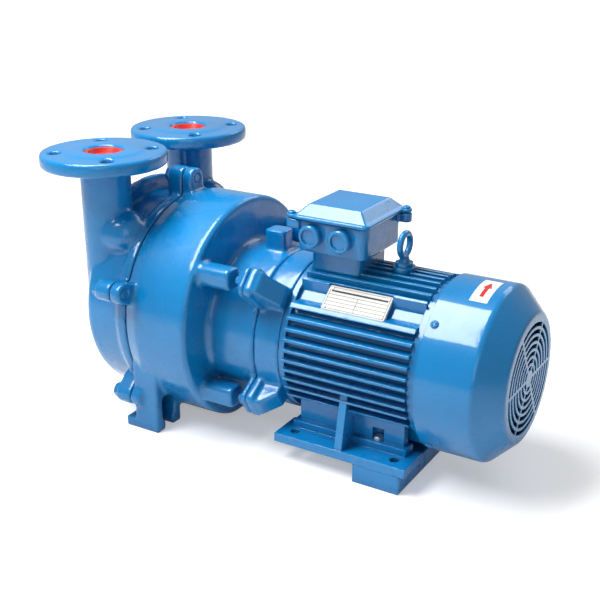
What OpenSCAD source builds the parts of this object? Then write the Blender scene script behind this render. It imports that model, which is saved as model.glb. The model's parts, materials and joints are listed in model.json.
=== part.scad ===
// Close-coupled liquid ring vacuum pump with two flanged ports and a finned foot motor.
// The shaft runs along X with the fan end at +X, the ports point up, and the floor is z = 0.

/* [Ports] */
// Outside diameter of each port flange
flange_d = 165; // [150:1:176]
// Thickness of each port flange, raised face included
flange_t = 20; // [16:1:24]
// Edge chamfer of each port flange
flange_edge = 1.5; // [0.5:0.5:3]
// Bolt circle of each port flange
flange_pcd = 125; // [120:1:130]
// Bolt hole of each port flange
flange_hole_d = 18; // [14:1:20]
// Bolt holes in each port flange
flange_holes = 4; // [4, 8]
// Diameter of the raised sealing face
raised_face_d = 102; // [92:1:104]
// Height of the raised sealing face
raised_face_h = 2; // [1:0.5:3]
// Bore of each port
port_bore_d = 50; // [44:1:54]
// Wall of each port neck
port_wall = 8; // [6:0.5:10]
// Distance between the two port axes
port_spacing = 182; // [178:1:196]
// Height of the port faces above the floor
port_height = 366; // [350:1:390]
// Height of the flare under each flange
port_flare = 9; // [5:1:14]
// Radius of the elbow behind each port neck
elbow_r = 31; // [28:0.5:32]
// Height of each elbow's axis below the port face
elbow_drop = 109; // [104:1:116]
// Thickness of the arched web between the port necks
port_web_t = 14; // [10:1:18]
// Height of the arched web above the cover drum
port_web_h = 20; // [12:1:24]
// Depth of each transit plug in its port
port_plug_len = 24; // [16:1:30]
// Depth of each transit plug below the flange face
port_plug_sink = 3; // [1:0.5:6]

/* [Cover] */
// Radius of the cover drum
cover_r = 140; // [134:1:142]
// Length of the cover drum
cover_len = 75; // [70:1:90]
// Wall of the cover drum
cover_wall = 10; // [8:0.5:12]
// Front edge radius of the cover drum
cover_edge = 12; // [6:1:16]
// Distance from the cover's front face to the port axes
port_setback = 10; // [4:1:16]
// Height of the lower end of each port lobe above the shaft
lobe_rise = 14; // [0:1:30]
// Width of the wall between the two chambers
partition_w = 12; // [8:1:18]
// Radius of the hollow post round the shaft end
post_r = 36; // [32:1:40]
// Radius of the rim at the joint
rim_r = 146; // [144:1:148]
// Length of the rim at the joint
rim_len = 13; // [8:1:20]
// Radius of the service liquid boss on the front face
liquid_boss_r = 24; // [20:1:30]
// Height of the service liquid boss
liquid_boss_h = 9; // [6:1:14]

/* [Casing] */
// Height of the shaft axis above the floor
shaft_h = 137; // [136:0.5:142]
// Height of the casing axis above the shaft axis
eccentricity = 13; // [11:0.5:15]
// Outside radius of the casing
casing_r = 152; // [149:1:154]
// Length of the casing
casing_len = 100; // [94:1:112]
// Radius of the liquid ring chamber
chamber_r = 132; // [129:0.5:133]
// Thickness of the casing's rear wall
rear_wall = 12; // [10:1:14]
// Height of the bevel round the joint
bevel_h = 7; // [4:1:9]
// Length of the bevel round the joint
bevel_len = 22; // [12:1:30]
// Rear edge chamfer of the casing
casing_edge = 4; // [2:0.5:8]
// Gap between the casing's flat belly and the floor
belly_gap = 6; // [5:0.5:9]
// Distance of the joint bolts outside the casing's wall
joint_bolt_over = 16; // [13:1:18]
// Corner radius of each joint lug
lug_r = 14; // [12:0.5:15]
// Length of each lug on the cover
cover_lug_len = 24; // [18:1:30]
// Length of each lug on the casing
casing_lug_len = 17; // [14:1:22]
// Thread diameter of the joint bolts
joint_bolt_d = 12; // [10:1:14]
// Outer half width over the pump feet
pump_foot_y = 138; // [134:1:142]
// Width of each pump foot
pump_foot_w = 50; // [46:1:56]
// Length of each pump foot pad
pump_foot_len = 54; // [50:1:60]
// Thickness of each pump foot pad
pump_foot_t = 14; // [10:1:18]
// Length of each pump leg
pump_leg_len = 38; // [34:1:40]
// Distance from the joint back to the tip of the foot pad
pump_foot_back = 40; // [40:1:46]
// Width of the open slot in each pump foot
pump_slot_w = 14; // [12:1:16]
// Depth of the open slot in each pump foot
pump_slot_len = 30; // [24:1:34]
// Width of the wrench channel above each slot
pump_channel_w = 24; // [20:1:25]
// Height of the wrench channel above each slot
pump_channel_h = 34; // [28:1:40]

/* [Neck] */
// Outside radius of the neck behind the casing
neck_r = 104; // [100:1:106]
// Register bore of the neck
neck_bore_r = 86; // [82:1:88]
// Length of the neck
neck_len = 71; // [66:1:80]
// Flare of the neck at the rear wall
neck_flare = 9; // [4:1:12]
// Stud thread diameter
stud_d = 10; // [8:1:12]
// Distance of the studs from the upright plane through the shaft
stud_y = 106; // [104:1:108]
// Distance of the studs above and below the casing axis
stud_z = 80; // [78:1:82]
// Width of each stud lug
stud_lug_w = 40; // [36:1:44]
// Distance from each stud's axis to the outer edge of its lug
stud_lug_over = 12; // [10:0.5:14]
// Corner radius of each stud lug
stud_lug_r = 9; // [6:0.5:12]
// Thickness of the stud lugs on the neck
neck_lug_t = 8; // [6:1:10]
// Width of each square boss on the casing's rear wall
boss_w = 28; // [24:1:30]
// Gap between each boss and the end of its stud
boss_gap = 5; // [3:1:10]
// Length of the lifting boss on the neck
lift_boss_l = 30; // [24:1:34]
// Width of the lifting boss
lift_boss_w = 26; // [20:1:30]
// Height of the lifting boss above the shaft
lift_boss_z = 131; // [124:1:136]

/* [Wet end] */
// Thickness of the port plate
plate_t = 8; // [6:0.5:10]
// Step of the port plate seat beyond the chamber
plate_seat = 4; // [3:0.5:6]
// Thickness of the joint gasket
gasket_t = 0.8; // [0.5:0.1:1.5]
// Radial width of the joint gasket
gasket_w = 12; // [10:1:14]
// Tip radius of the impeller
impeller_r = 115; // [108:0.5:115.5]
// Hub radius of the impeller
hub_r = 40; // [36:1:44]
// Blades on the impeller
blade_n = 14; // [10:1:16]
// Thickness of each blade
blade_t = 4.5; // [3:0.5:5]
// Radius of the blade's curve
blade_curve_r = 70; // [60:1:90]
// Running gap at each end of the impeller
impeller_gap = 0.6; // [0.4:0.1:1.2]
// Thickness of the impeller's back disc
shroud_t = 5; // [4:0.5:8]
// Inner radius of the ports in the port plate
port_slot_in = 52; // [48:1:56]
// Outer radius of the ports in the port plate
port_slot_out = 88; // [82:1:94]
// Thickness of the discharge valve flap
valve_t = 1.2; // [0.8:0.1:2]
// Length of the discharge valve flap from its hinge line
valve_len = 48; // [44:1:50]
// Height of the discharge valve flap
valve_h = 72; // [66:1:80]
// Opening angle that the valve stop allows
valve_open = 6; // [4:0.5:8]

/* [Shaft] */
// Shaft diameter in the pump
shaft_d = 28; // [26:1:28]
// Bearing bore
bearing_bore = 30; // [30:1:32]
// Bearing outside diameter
bearing_od = 72; // [70:1:74]
// Bearing width
bearing_w = 19; // [17:1:20]
// Balls in each bearing
ball_n = 8; // [7:1:9]
// Ball diameter
ball_d = 12; // [10:0.5:12.5]
// Rotor core seat diameter
rotor_seat_d = 38; // [36:1:42]
// Fan seat diameter
fan_seat_d = 26; // [22:1:28]
// Impeller nut thread diameter
nut_thread_d = 20; // [16:1:22]
// Key width
key_w = 8; // [6:1:10]
// Key height
key_h = 7; // [5:1:8]

/* [Motor] */
// Length of the drive end shield
shield_len = 36; // [34:1:46]
// Radius of the drive end shield
shield_r = 103; // [100:1:106]
// Thickness of the stud lugs on the drive end shield
shield_lug_t = 10; // [8:0.5:13]
// Width of each ridge behind a stud lug
ridge_w = 28; // [24:1:30]
// Length of the flat part of each ridge
ridge_flat = 16; // [15:1:20]
// Height of each ridge where it meets the frame
ridge_end = 11; // [6:1:16]
// Length of the finned frame
frame_len = 188; // [182:1:210]
// Outside radius of the stator core
stator_r = 87.5; // [86:0.5:89]
// Bore radius of the stator core
stator_bore_r = 53; // [50:0.5:55]
// Wall of the frame under the fins
frame_wall = 7.5; // [6:0.5:9]
// Radius over the fin tips
fin_tip_r = 107; // [105:0.5:109]
// Thickness of each cooling fin
fin_t = 3.4; // [2.5:0.1:4.5]
// Spacing of the side fins
fin_pitch = 13; // [12:0.5:14]
// Side fins above and below the shaft
fin_side_n = 4; // [3:1:4]
// Spacing of the top and bottom fins
fin_top_pitch = 12; // [10:0.5:13]
// Height of the thick upper fin above the shaft
thick_fin_z = 66; // [62:1:70]
// Thickness of the thick upper fin
thick_fin_t = 5; // [4:0.5:6]
// Radius of the frame's end rings
end_ring_r = 101; // [99:1:104]
// Length of the frame's drive end ring
end_ring_len = 8; // [6:1:12]
// Length of the frame's fan end ring
fan_ring_len = 12; // [8:1:16]
// Room from the stator core to the frame's fan end
core_room = 40; // [36:1:48]
// Radial air gap
air_gap = 0.5; // [0.4:0.1:1]
// Distance by which the motor feet stop short of the frame's fan end
foot_short = 6; // [0:1:12]
// Height of the motor feet's underside
foot_z = 25; // [20:1:30]
// Thickness of the motor feet
foot_t = 11.5; // [9:0.5:13]
// Outer half width over the motor feet
foot_y = 112; // [108:1:118]
// Half width where the foot's raised pads start
foot_pad_y = 84; // [80:1:86]
// Height of the raised pads on the feet
foot_pad_h = 9.5; // [6:0.5:12]
// Distance between foot holes across the shaft
foot_hole_y = 190; // [186:1:194]
// Distance from each end of a motor foot to its hole
foot_hole_end = 21; // [18:1:26]
// Foot hole diameter
foot_hole_d = 12; // [10:0.5:13]
// Length of the support block under the feet
block_len = 64; // [56:1:70]
// Distance from the foot's fan end to the block
block_inset = 6; // [2:1:12]

/* [Fan cowl] */
// Outside radius of the cowl
cowl_r = 110; // [109:0.5:116]
// Length of the cowl
cowl_len = 100; // [94:1:112]
// Chamfer of the cowl's end
cowl_chamfer = 30; // [24:1:36]
// Radius of the edges beside the chamfer
cowl_edge = 9; // [5:1:14]
// Sheet thickness of the cowl
cowl_t = 2; // [1.5:0.1:2.5]
// Rings of slots in the cowl's grille
grille_rings = 7; // [5:1:8]
// Spokes across the cowl's grille
grille_spokes = 6; // [4:1:10]
// Width of each grille spoke
grille_bar = 4; // [3:0.5:6]
// Fan blades
fan_blades = 8; // [5:1:11]
// Tip radius of the fan
fan_r = 90; // [80:1:98]

/* [Terminal box] */
// Distance from the frame's drive end to the middle of the box
box_mid = 43; // [40:1:60]
// Length of the box body along the shaft
box_l = 94; // [88:1:100]
// Width of the box body across the shaft
box_w = 98; // [94:1:110]
// Height of the box floor above the shaft
box_floor = 125; // [120:1:130]
// Height of the box body
box_h = 40; // [34:1:50]
// Wall of the box
box_wall = 4; // [3:0.5:5]
// Corner radius of the box
box_corner = 8; // [5:1:12]
// Overhang of the lid beyond the body
lid_over = 6; // [4:0.5:8]
// Height of the lid's rim
lid_rim = 5; // [4:0.5:7]
// Height of the lid's sloping top
lid_slope = 13; // [8:1:16]
// Distance between the two cable entries
entry_gap = 41; // [36:1:46]
// Radius of each cable entry plug
entry_r = 14.5; // [12:0.5:16]

/* [Fittings] */
// Eyebolt ring outside diameter
eye_od = 36; // [32:1:40]
// Eyebolt ring hole
eye_id = 20; // [18:1:22]
// Distance from the frame's drive end to the eyebolt
eye_x = 120; // [114:1:130]
// Height of the eyebolt's boss above the shaft
eye_boss_z = 112; // [109:1:116]
// Radius of the eyebolt's boss
eye_boss_r = 14; // [12:1:16]
// Length of the nameplate
plate_l = 85; // [70:1:100]
// Width of the nameplate
plate_w = 34; // [28:1:38]
// Thickness of the nameplate
plate_th = 1; // [0.6:0.1:1.5]
// Angle of the nameplate above the horizontal
plate_angle = 50; // [46:1:54]
// Distance of the nameplate's pad from the shaft
plate_pad_r = 102; // [100:0.5:104]
// Distance from the frame's drive end to the middle of the nameplate
plate_mid = 90; // [84:1:96]

/* [Fits] */
// Radial clearance of turned fits
fit = 0.05; // [0.02:0.01:0.1]
// Radial clearance of bolts in their holes
bolt_clear = 0.5; // [0.3:0.1:1]
// Gap between faces that rub
rub_gap = 0.1; // [0.05:0.05:0.3]

/* [Hidden] */
$fn = 64;
eps = 0.5;

paint = "#1272be";
steel = "#b9bdc2";
bronze = "#b98a4a";
red = "#c8322d";

// Proportions of hexagon fasteners for a thread diameter
function across_flats(d) = 1.5 * d;
function head_height(d) = 0.65 * d;
function nut_height(d) = 0.8 * d;

// Places along the shaft, from the port axes to the fan end
port_neck_r = port_bore_d / 2 + port_wall;
body_len = cover_len - port_setback + casing_len + neck_len + shield_len + frame_len + cowl_len;
x_port = (flange_d / 2 - body_len) / 2;
x_cover = x_port - port_setback;
x_joint = x_cover + cover_len;
x_rear = x_joint + casing_len;
x_flange = x_rear + neck_len;
x_frame = x_flange + shield_len;
x_cowl = x_frame + frame_len;
casing_z = shaft_h + eccentricity;
lobe_z = shaft_h + lobe_rise;
lug_angles = [90, 18, 162, -38, 218];
joint_bolt_r = casing_r + joint_bolt_over;
diagonal_angles = [45, 135, 225, 315];
quarter_angles = [0, 90, 180, 270];

// Depth by which ribs, lugs and bosses run into the body that carries them
sink = 10;
// Clear depth past the end of a thread
thread_relief = 1;
// Radial space round the shaft where nothing bears on it
shaft_pass = 2;

x_plate = x_joint + gasket_t;
x_chamber = x_plate + plate_t;
x_back = x_rear - rear_wall;
seat_r = chamber_r + plate_seat;
impeller_len = x_back - x_chamber - 2 * impeller_gap;
x_impeller = x_chamber + impeller_gap;

// Cover details
rim_taper = 6;
post_wall = 8;
post_bore_r = post_r - post_wall;
elbow_gap = 4;
nose_gap = 4;

function angle_of(p) = atan2(p[1], p[0]);

// Studs at the corners of a rectangle about the casing axis, each with a nut on the neck's lug
stud_places = [for (s = [1, -1], t = [1, -1]) [s * stud_y, eccentricity + t * stud_z]];
stud_thread_len = 13;
stud_tip = 3;
stud_out = neck_lug_t + nut_height(stud_d) + stud_tip;
boss_len = neck_len - stud_out - boss_gap;
boss_corner = 8;
lift_boss_x = x_flange - sink - lift_boss_l / 2;
lift_boss_corner = 5;

// Mechanical seal behind the impeller, in a cup on the rear wall
seal_cup_r = 44;
seal_cavity_r = 32;
seal_cup_len = 32;
x_seal_seat = x_rear + seal_cup_len / 2;
seal_seat_r = 24;
seal_seat_len = 10;
seal_seat_proud = 2;
seal_head_len = 9;
seal_head_r = 23;
seal_collar_len = 5;
x_seal_collar = x_back + impeller_gap;
x_seal_head = x_seal_seat - seal_seat_proud - rub_gap - seal_head_len;
seal_wire_r = 1.5;
seal_coil_r = 18.5;
seal_turns = 3;
wire_sides = 8;
wire_steps = 20;

// Drive end shield: slinger space, web, lip seal and bearing pocket in a row
slinger_len = 8;
slinger_gap = 2;
slinger_bead = 5;
slinger_lip = 12;
slinger_edge = 2;
lip_floor = 5;
lip_seal_len = 7;
lip_seal_r = 22;
lip_clear = 1;
web_x = slinger_len + slinger_gap;
lip_seal_x = web_x + lip_floor;
bearing_pocket_x = lip_seal_x + lip_seal_len + lip_clear;
web_back_x = bearing_pocket_x + 3;
bearing_wall = 10;
bearing_lip = 2;
spigot_len = 6;
spigot_wall = 10;
ridge_over = 9;

// Ball bearings
bearing_r = bearing_od / 2;
ball_circle_r = (bearing_bore + bearing_od) / 4;
race_gap = 4;
x_drive_bearing = x_flange + bearing_pocket_x;
x_fan_bearing = x_cowl + 1 - bearing_w;
shaft_shoulder = 3;
cage_t = 2;
cage_len = ball_d + 3;

// Rotor, stator and winding
core_x = 28;
core_len = frame_len - core_x - core_room;
x_core = x_frame + core_x;
rotor_r = stator_bore_r - air_gap;
rotor_ring_len = 8;
rotor_ring_inset = 3;
rotor_ring_w = 24;
winding_len = 16;
winding_w = 22;
winding_corner = 6;
frame_r = stator_r + fit + frame_wall;
screw_circle_r = (stator_r + end_ring_r) / 2;

// Impeller nut and the shaft's nose
nut_washer_t = 3;
nut_washer_w = 8;
impeller_nut_h = nut_height(nut_thread_d);
nose_len = nut_washer_t + impeller_nut_h + 3;
x_shaft_end = x_impeller - nose_len;
blade_root = 4;
shroud_inset = 3;
key_inset = 8;

// Fan end shield and the cowl's seats on it
fan_shield_t = 10;
fan_web_t = 8;
cowl_lug_x = 2;
cowl_lug_len = 14;
cowl_lug_w = 18;
cowl_screw_d = 5;
cowl_screw_len = 12;
cowl_screw_lift = 0.2;

// Fan on the shaft's tail
fan_hub_len = 28;
fan_hub_r = 23;
fan_blade_t = 3;
fan_disc_t = 4;
fan_gap = 6;
circlip_t = 2;
circlip_w = 4;
x_fan = x_cowl + cowl_lug_x + cowl_lug_len + fan_gap;
x_circlip = x_fan + fan_hub_len;
x_fan_stub = x_circlip + circlip_t + 3;

// Screws of both shields
shield_ear_t = 10;
shield_screw_d = 6;
shield_screw_bite = 9;
screw_pocket_d = 12.5;

// Fins and feet
fin_top_n = 5;
foot_len = frame_len - foot_short;
foot_hole_x = foot_len - 2 * foot_hole_end;
foot_in_y = 62;
foot_web_y = 76;
foot_web_t = 12;
foot_web_inset = 18;
foot_web_drop = 50;
foot_pad_inset = 12;
foot_rib_t = 10;
foot_rib_edge = 2;
foot_rib_lip = 3;
foot_rib_drop = 24;

// Support block
block_x = x_frame + foot_len - block_inset - block_len;
foot_mid_x = x_frame + foot_len / 2;
block_screw_d = 8;
block_screw_inset = 17;
block_screw_x = block_x + block_screw_inset;
block_screw_y = foot_pad_y - sink;
block_screw_bite = 14;

// Terminal box
box_x = x_frame + box_mid;
box_z = shaft_h + box_floor;
box_seat_l = 70;
box_seat_w = 72;
box_seat_corner = 8;
box_gasket_t = 1;
lid_z = box_z + box_h + box_gasket_t;
lid_ear_r = 7;
lid_ear_x = box_l / 2 + lid_over + 3;
lid_ear_y = box_w / 2 - 3;
lid_lip = 2;
lid_roof = 3;
lid_screw_d = 5;
lid_screw_bite = 9;
lid_ear_h = lid_screw_bite + 3;
slab = 0.1;
entry_z = box_z + 22;
entry_x = box_x - 5;
entry_thread_r = entry_r - 3;
entry_cap = 10;
entry_chamfer = 1.5;
entry_rim = 2.5;
entry_dish = 3;
board_l = 62;
board_w = 40;
board_h = 10;
board_corner = 4;
terminal_d = 5;
terminal_h = 20;
terminal_dx = 20;
terminal_dy = 11;

// Eyebolt, nameplate and plugs
eye_thread_d = 8;
eye_thread_len = 11;
eye_collar_r = 11;
eye_collar_h = 5;
eye_neck_r = 5;
eye_lift = 9;
plate_margin = 1;
plate_corner = 2;
rivet_inset = 4;
rivet_d = 2.5;
rivet_len = 5;
rivet_head_r = 2.2;
rivet_head_h = 1;
drain_z = casing_z - cover_r + 26;
drain_boss_r = 13;
drain_boss_h = 6;
drain_thread_d = 13;
liquid_thread_d = 26;
plug_thread_len = 14;
liquid_head_h = 4;
plug_wall = 3.5;
plug_rim = 4;
plug_slope = 3;
plug_dish = 6;
plug_floor = 3;
plug_lead = 1.5;

// The flap hangs on a line beside the post and covers the small discharge holes
stop_foot = 9;
valve_gap = 0.5;
valve_hinge_y = -(post_r + stop_foot + 2 * valve_gap);
valve_mid_y = valve_hinge_y - valve_len / 2;
valve_hole_d = 10;
valve_land = 5;
valve_stop_t = 2.5;
stop_margin = 1.5;
suction_from = -52;
suction_to = 58;
discharge_from = 222;
discharge_to = 256;

// Puts local x along Y, local y along Z and local z along the shaft
module axial(x, z = shaft_h) {
    translate([x, 0, z]) rotate([90, 0, 90]) children();
}

module both_sides() {
    children();
    mirror([0, 1, 0]) children();
}

module around(angles, r) {
    for (a = angles) rotate(a) translate([r, 0, 0]) children();
}

module at_studs() {
    for (p = stud_places) translate([p[0], p[1], 0]) children();
}

module tube(r_out, r_in, h) {
    difference() {
        cylinder(r = r_out, h = h);
        translate([0, 0, -eps]) cylinder(r = r_in, h = h + 2 * eps);
    }
}

module hex(af, h) {
    cylinder(d = af / cos(30), h = h, $fn = 6);
}

// Hexagon head on a round shank, the head above the seat at z = 0 and the shank below it
module hex_bolt(d, len) {
    hex(across_flats(d), head_height(d));
    translate([0, 0, -len]) cylinder(d = d, h = len + eps);
}

module hex_nut(d, h) {
    difference() {
        hex(across_flats(d), h);
        translate([0, 0, -eps]) cylinder(d = d + 2 * fit, h = h + 2 * eps);
    }
}

module rounded_rect(l, w, r) {
    square([l - 2 * r, w], center = true);
    square([l, w - 2 * r], center = true);
    for (x = [-1, 1], y = [-1, 1]) translate([x * (l / 2 - r), y * (w / 2 - r)]) circle(r);
}

function arc_points(cx, cy, r, a0, a1, n = 8) =
    [for (i = [0:n]) let (a = a0 + (a1 - a0) * i / n) [cx + r * cos(a), cy + r * sin(a)]];

// Points of a round wire wound into a helix about z, closed flat at both ends
function coil_points(r, wire_r, pitch, turns, steps, sides) =
    [for (i = [0:turns * steps], j = [0:sides - 1])
        let (a = 360 * i / steps, b = 360 * j / sides, q = r + wire_r * cos(b))
        [q * cos(a), q * sin(a), pitch * i / steps + wire_r * sin(b)]];

function coil_faces(rings, sides) = concat(
    [[for (j = [0:sides - 1]) j]],
    [for (i = [0:rings - 2], j = [0:sides - 1])
        [i * sides + j, (i + 1) * sides + j, (i + 1) * sides + (j + 1) % sides, i * sides + (j + 1) % sides]],
    [[for (j = [sides - 1:-1:0]) (rings - 1) * sides + j]]);

// Round-ended radial lug in the plane across the shaft
module lug_2d(a, r_bolt, r_root, r_end) {
    rotate(a) {
        translate([r_bolt, 0]) circle(r_end);
        translate([r_root, -r_end]) square([r_bolt - r_root, 2 * r_end]);
    }
}

// Broad stud lug with rounded outer corners, in the plane across the shaft
module stud_lug_2d(p, r_root) {
    r_edge = norm(p) + stud_lug_over;
    rotate(angle_of(p)) {
        translate([r_root, -stud_lug_w / 2]) square([r_edge - stud_lug_w / 2 - r_root, stud_lug_w]);
        translate([r_edge - stud_lug_w / 2, 0]) rounded_rect(stud_lug_w, stud_lug_w, stud_lug_r);
    }
}

module pump_foot() {
    x_tip = x_joint + pump_foot_back;
    x_slot_end = x_tip - pump_slot_len + pump_slot_w / 2;
    y_slot = -pump_foot_y + pump_foot_w / 2;
    leg_h = casing_z - casing_r * sin(acos(pump_foot_y / casing_r)) + sink;
    difference() {
        union() {
            translate([x_tip - pump_foot_len, -pump_foot_y, 0])
                cube([pump_foot_len, pump_foot_w, pump_foot_t]);
            translate([x_tip - pump_leg_len, -pump_foot_y, 0]) cube([pump_leg_len, pump_foot_w, leg_h]);
        }
        translate([x_slot_end, y_slot, -eps]) cylinder(d = pump_slot_w, h = pump_foot_t + 2 * eps);
        translate([x_slot_end, y_slot - pump_slot_w / 2, -eps])
            cube([pump_slot_len, pump_slot_w, pump_foot_t + 2 * eps]);
        translate([x_tip - pump_slot_len, y_slot - pump_channel_w / 2, pump_foot_t])
            cube([pump_slot_len + eps, pump_channel_w, pump_channel_h]);
    }
}

module pump_casing() color(paint) difference() {
    union() {
        intersection() {
            axial(x_joint, casing_z) rotate_extrude() polygon([
                [0, 0],
                [casing_r - bevel_h, 0],
                [casing_r, bevel_len],
                [casing_r, casing_len - casing_edge],
                [casing_r - casing_edge, casing_len],
                [0, casing_len]]);
            translate([x_joint - eps, -2 * casing_r, belly_gap])
                cube([casing_len + 2 * eps, 4 * casing_r, 3 * casing_r]);
        }
        axial(x_joint, casing_z) linear_extrude(casing_lug_len)
            for (a = lug_angles) lug_2d(a, joint_bolt_r, casing_r - bevel_h - sink, lug_r);
        neck();
        axial(x_rear - casing_edge) linear_extrude(boss_len + casing_edge)
            at_studs() rounded_rect(boss_w, boss_w, boss_corner);
        axial(x_rear - eps) cylinder(r = seal_cup_r, h = seal_cup_len + eps);
        both_sides() pump_foot();
    }
    axial(x_joint - eps, casing_z) cylinder(r = seat_r, h = gasket_t + plate_t + eps);
    axial(x_joint, casing_z) cylinder(r = chamber_r, h = casing_len - rear_wall);
    axial(x_back - eps) cylinder(r = seal_cavity_r, h = x_seal_seat - x_back + eps);
    axial(x_seal_seat - eps) cylinder(r = seal_seat_r + fit, h = seal_seat_len - seal_seat_proud + eps);
    axial(x_rear) cylinder(r = shaft_d / 2 + shaft_pass, h = neck_len);
    axial(x_joint - eps, casing_z) around(lug_angles, joint_bolt_r)
        cylinder(d = joint_bolt_d + 2 * fit, h = casing_lug_len + 2 * eps);
    axial(x_flange - neck_lug_t - eps) at_studs()
        cylinder(d = stud_d + 2 * bolt_clear, h = neck_lug_t + 2 * eps);
}

// Round neck behind the casing, with its stud lugs and the lifting boss on top
module neck() {
    axial(x_rear - eps) rotate_extrude() polygon(concat(
        [[neck_bore_r, 0]],
        arc_points(neck_r + neck_flare, neck_flare + eps, neck_flare, 270, 180),
        [[neck_r, neck_len + eps], [neck_bore_r, neck_len + eps]]));
    axial(x_flange - neck_lug_t) linear_extrude(neck_lug_t)
        for (p = stud_places) stud_lug_2d(p, neck_r - sink);
    translate([lift_boss_x, 0, shaft_h + neck_r - sink]) linear_extrude(lift_boss_z - neck_r + sink)
        rounded_rect(lift_boss_l, lift_boss_w, lift_boss_corner);
}

module port_cover() color(paint) difference() {
    union() {
        axial(x_cover, casing_z) rotate_extrude() polygon(concat(
            [[0, 0]],
            arc_points(cover_r - cover_edge, cover_edge, cover_edge, -90, 0),
            [[cover_r, cover_len - rim_len - rim_taper],
            [rim_r, cover_len - rim_len],
            [rim_r, cover_len],
            [0, cover_len]]));
        axial(x_joint - cover_lug_len, casing_z) linear_extrude(cover_lug_len)
            for (a = lug_angles) lug_2d(a, joint_bolt_r, cover_r - sink, lug_r);
        both_sides() translate([x_port, port_spacing / 2, 0]) port_neck();
        port_web();
        axial(x_cover - liquid_boss_h) cylinder(r = liquid_boss_r, h = liquid_boss_h + eps);
        axial(x_cover - drain_boss_h, drain_z) cylinder(r = drain_boss_r, h = drain_boss_h + eps);
    }
    both_sides() translate([x_port, port_spacing / 2, lobe_z]) {
        cylinder(d = port_bore_d, h = port_height);
        sphere(d = port_bore_d);
    }
    both_sides() translate([x_port, port_spacing / 2, port_height - flange_t - eps])
        around([for (i = [0:flange_holes - 1]) (i + 0.5) * 360 / flange_holes], flange_pcd / 2)
            cylinder(d = flange_hole_d, h = flange_t + 2 * eps);
    cover_chambers();
    axial(x_shaft_end - nose_gap) cylinder(r = post_bore_r, h = x_joint - x_shaft_end + nose_gap + eps);
    axial(x_joint - cover_lug_len - eps, casing_z) around(lug_angles, joint_bolt_r)
        cylinder(d = joint_bolt_d + 2 * bolt_clear, h = cover_lug_len + 2 * eps);
    axial(x_cover - liquid_boss_h - eps)
        cylinder(d = liquid_thread_d + 2 * fit, h = plug_thread_len + thread_relief + eps);
    axial(x_cover - drain_boss_h - eps, drain_z)
        cylinder(d = drain_thread_d + 2 * fit, h = plug_thread_len + thread_relief + eps);
}

// Arched web over the drum, from one port neck to the other
module port_web() {
    half_w = port_spacing / 2 - port_neck_r + port_wall / 2;
    axial(x_port - port_web_t / 2, casing_z) linear_extrude(port_web_t) intersection() {
        circle(cover_r + port_web_h);
        translate([-half_w, cover_r / 2]) square([2 * half_w, cover_r]);
    }
}

// One port: lobe down the front of the cover, elbow, neck, flare, flange and raised face
module port_neck() {
    z_flange = port_height - flange_t;
    z_face = port_height - raised_face_h;
    elbow_len = cover_len - port_setback - elbow_r - elbow_gap;
    translate([0, 0, lobe_z]) sphere(r = port_neck_r);
    translate([0, 0, port_height - elbow_drop]) {
        rotate([0, 90, 0]) cylinder(r = elbow_r, h = elbow_len);
        translate([elbow_len, 0, 0]) sphere(r = elbow_r);
    }
    rotate_extrude() polygon(concat(
        [[0, lobe_z], [port_neck_r, lobe_z]],
        arc_points(port_neck_r + port_flare, z_flange - port_flare, port_flare, 180, 90),
        [[flange_d / 2 - flange_edge, z_flange],
        [flange_d / 2, z_flange + flange_edge],
        [flange_d / 2, z_face - flange_edge],
        [flange_d / 2 - flange_edge, z_face],
        [raised_face_d / 2, z_face],
        [raised_face_d / 2, port_height],
        [0, port_height]]));
}

// The suction and discharge chambers, each open towards the port plate
module cover_chambers() difference() {
    axial(x_cover + cover_wall, casing_z) cylinder(r = cover_r - cover_wall, h = cover_len);
    translate([x_cover, -partition_w / 2, 0]) cube([2 * cover_len, partition_w, port_height]);
    axial(x_cover) cylinder(r = post_r, h = 2 * cover_len);
}

module port_plate() color(steel) difference() {
    pitch_y = (valve_len - valve_hole_d) / 2 - valve_land;
    pitch_z = (valve_h - valve_hole_d) / 2 - valve_land;
    axial(x_plate, casing_z) cylinder(r = seat_r - fit, h = plate_t);
    axial(x_plate - eps) {
        cylinder(r = post_bore_r, h = plate_t + 2 * eps);
        linear_extrude(plate_t + 2 * eps) {
            port_slot_2d(suction_from, suction_to);
            port_slot_2d(discharge_from, discharge_to);
        }
        for (i = [-1, 0, 1], j = [-1, 0, 1]) translate([valve_mid_y + i * pitch_y, j * pitch_z, 0])
            cylinder(d = valve_hole_d, h = plate_t + 2 * eps);
    }
}

// Sector of a ring between two angles, for the ports of the port plate
module port_slot_2d(a0, a1) {
    polygon(concat(arc_points(0, 0, port_slot_out, a0, a1, 16), arc_points(0, 0, port_slot_in, a1, a0, 16)));
}

module joint_gasket() color("dimgray") axial(x_joint, casing_z)
    tube(seat_r - fit, seat_r - gasket_w, gasket_t);

module discharge_valve() color("white")
    translate([x_plate - valve_t, valve_hinge_y - valve_len, shaft_h - valve_h / 2])
        cube([valve_t, valve_len, valve_h]);

module valve_stop() color(steel) {
    tip = valve_len * sin(valve_open + stop_margin);
    x_under = x_plate - valve_t;
    x_over = x_under - valve_stop_t;
    y0 = valve_hinge_y + valve_gap;
    y_tip = valve_hinge_y - valve_len;
    translate([0, 0, shaft_h - valve_h / 2]) linear_extrude(valve_h) polygon([
        [x_plate, y0],
        [x_plate, y0 + stop_foot],
        [x_over, y0 + stop_foot],
        [x_over - valve_gap, y0],
        [x_over - tip, y_tip],
        [x_under - tip, y_tip],
        [x_under - valve_gap, y0]]);
}

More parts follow.
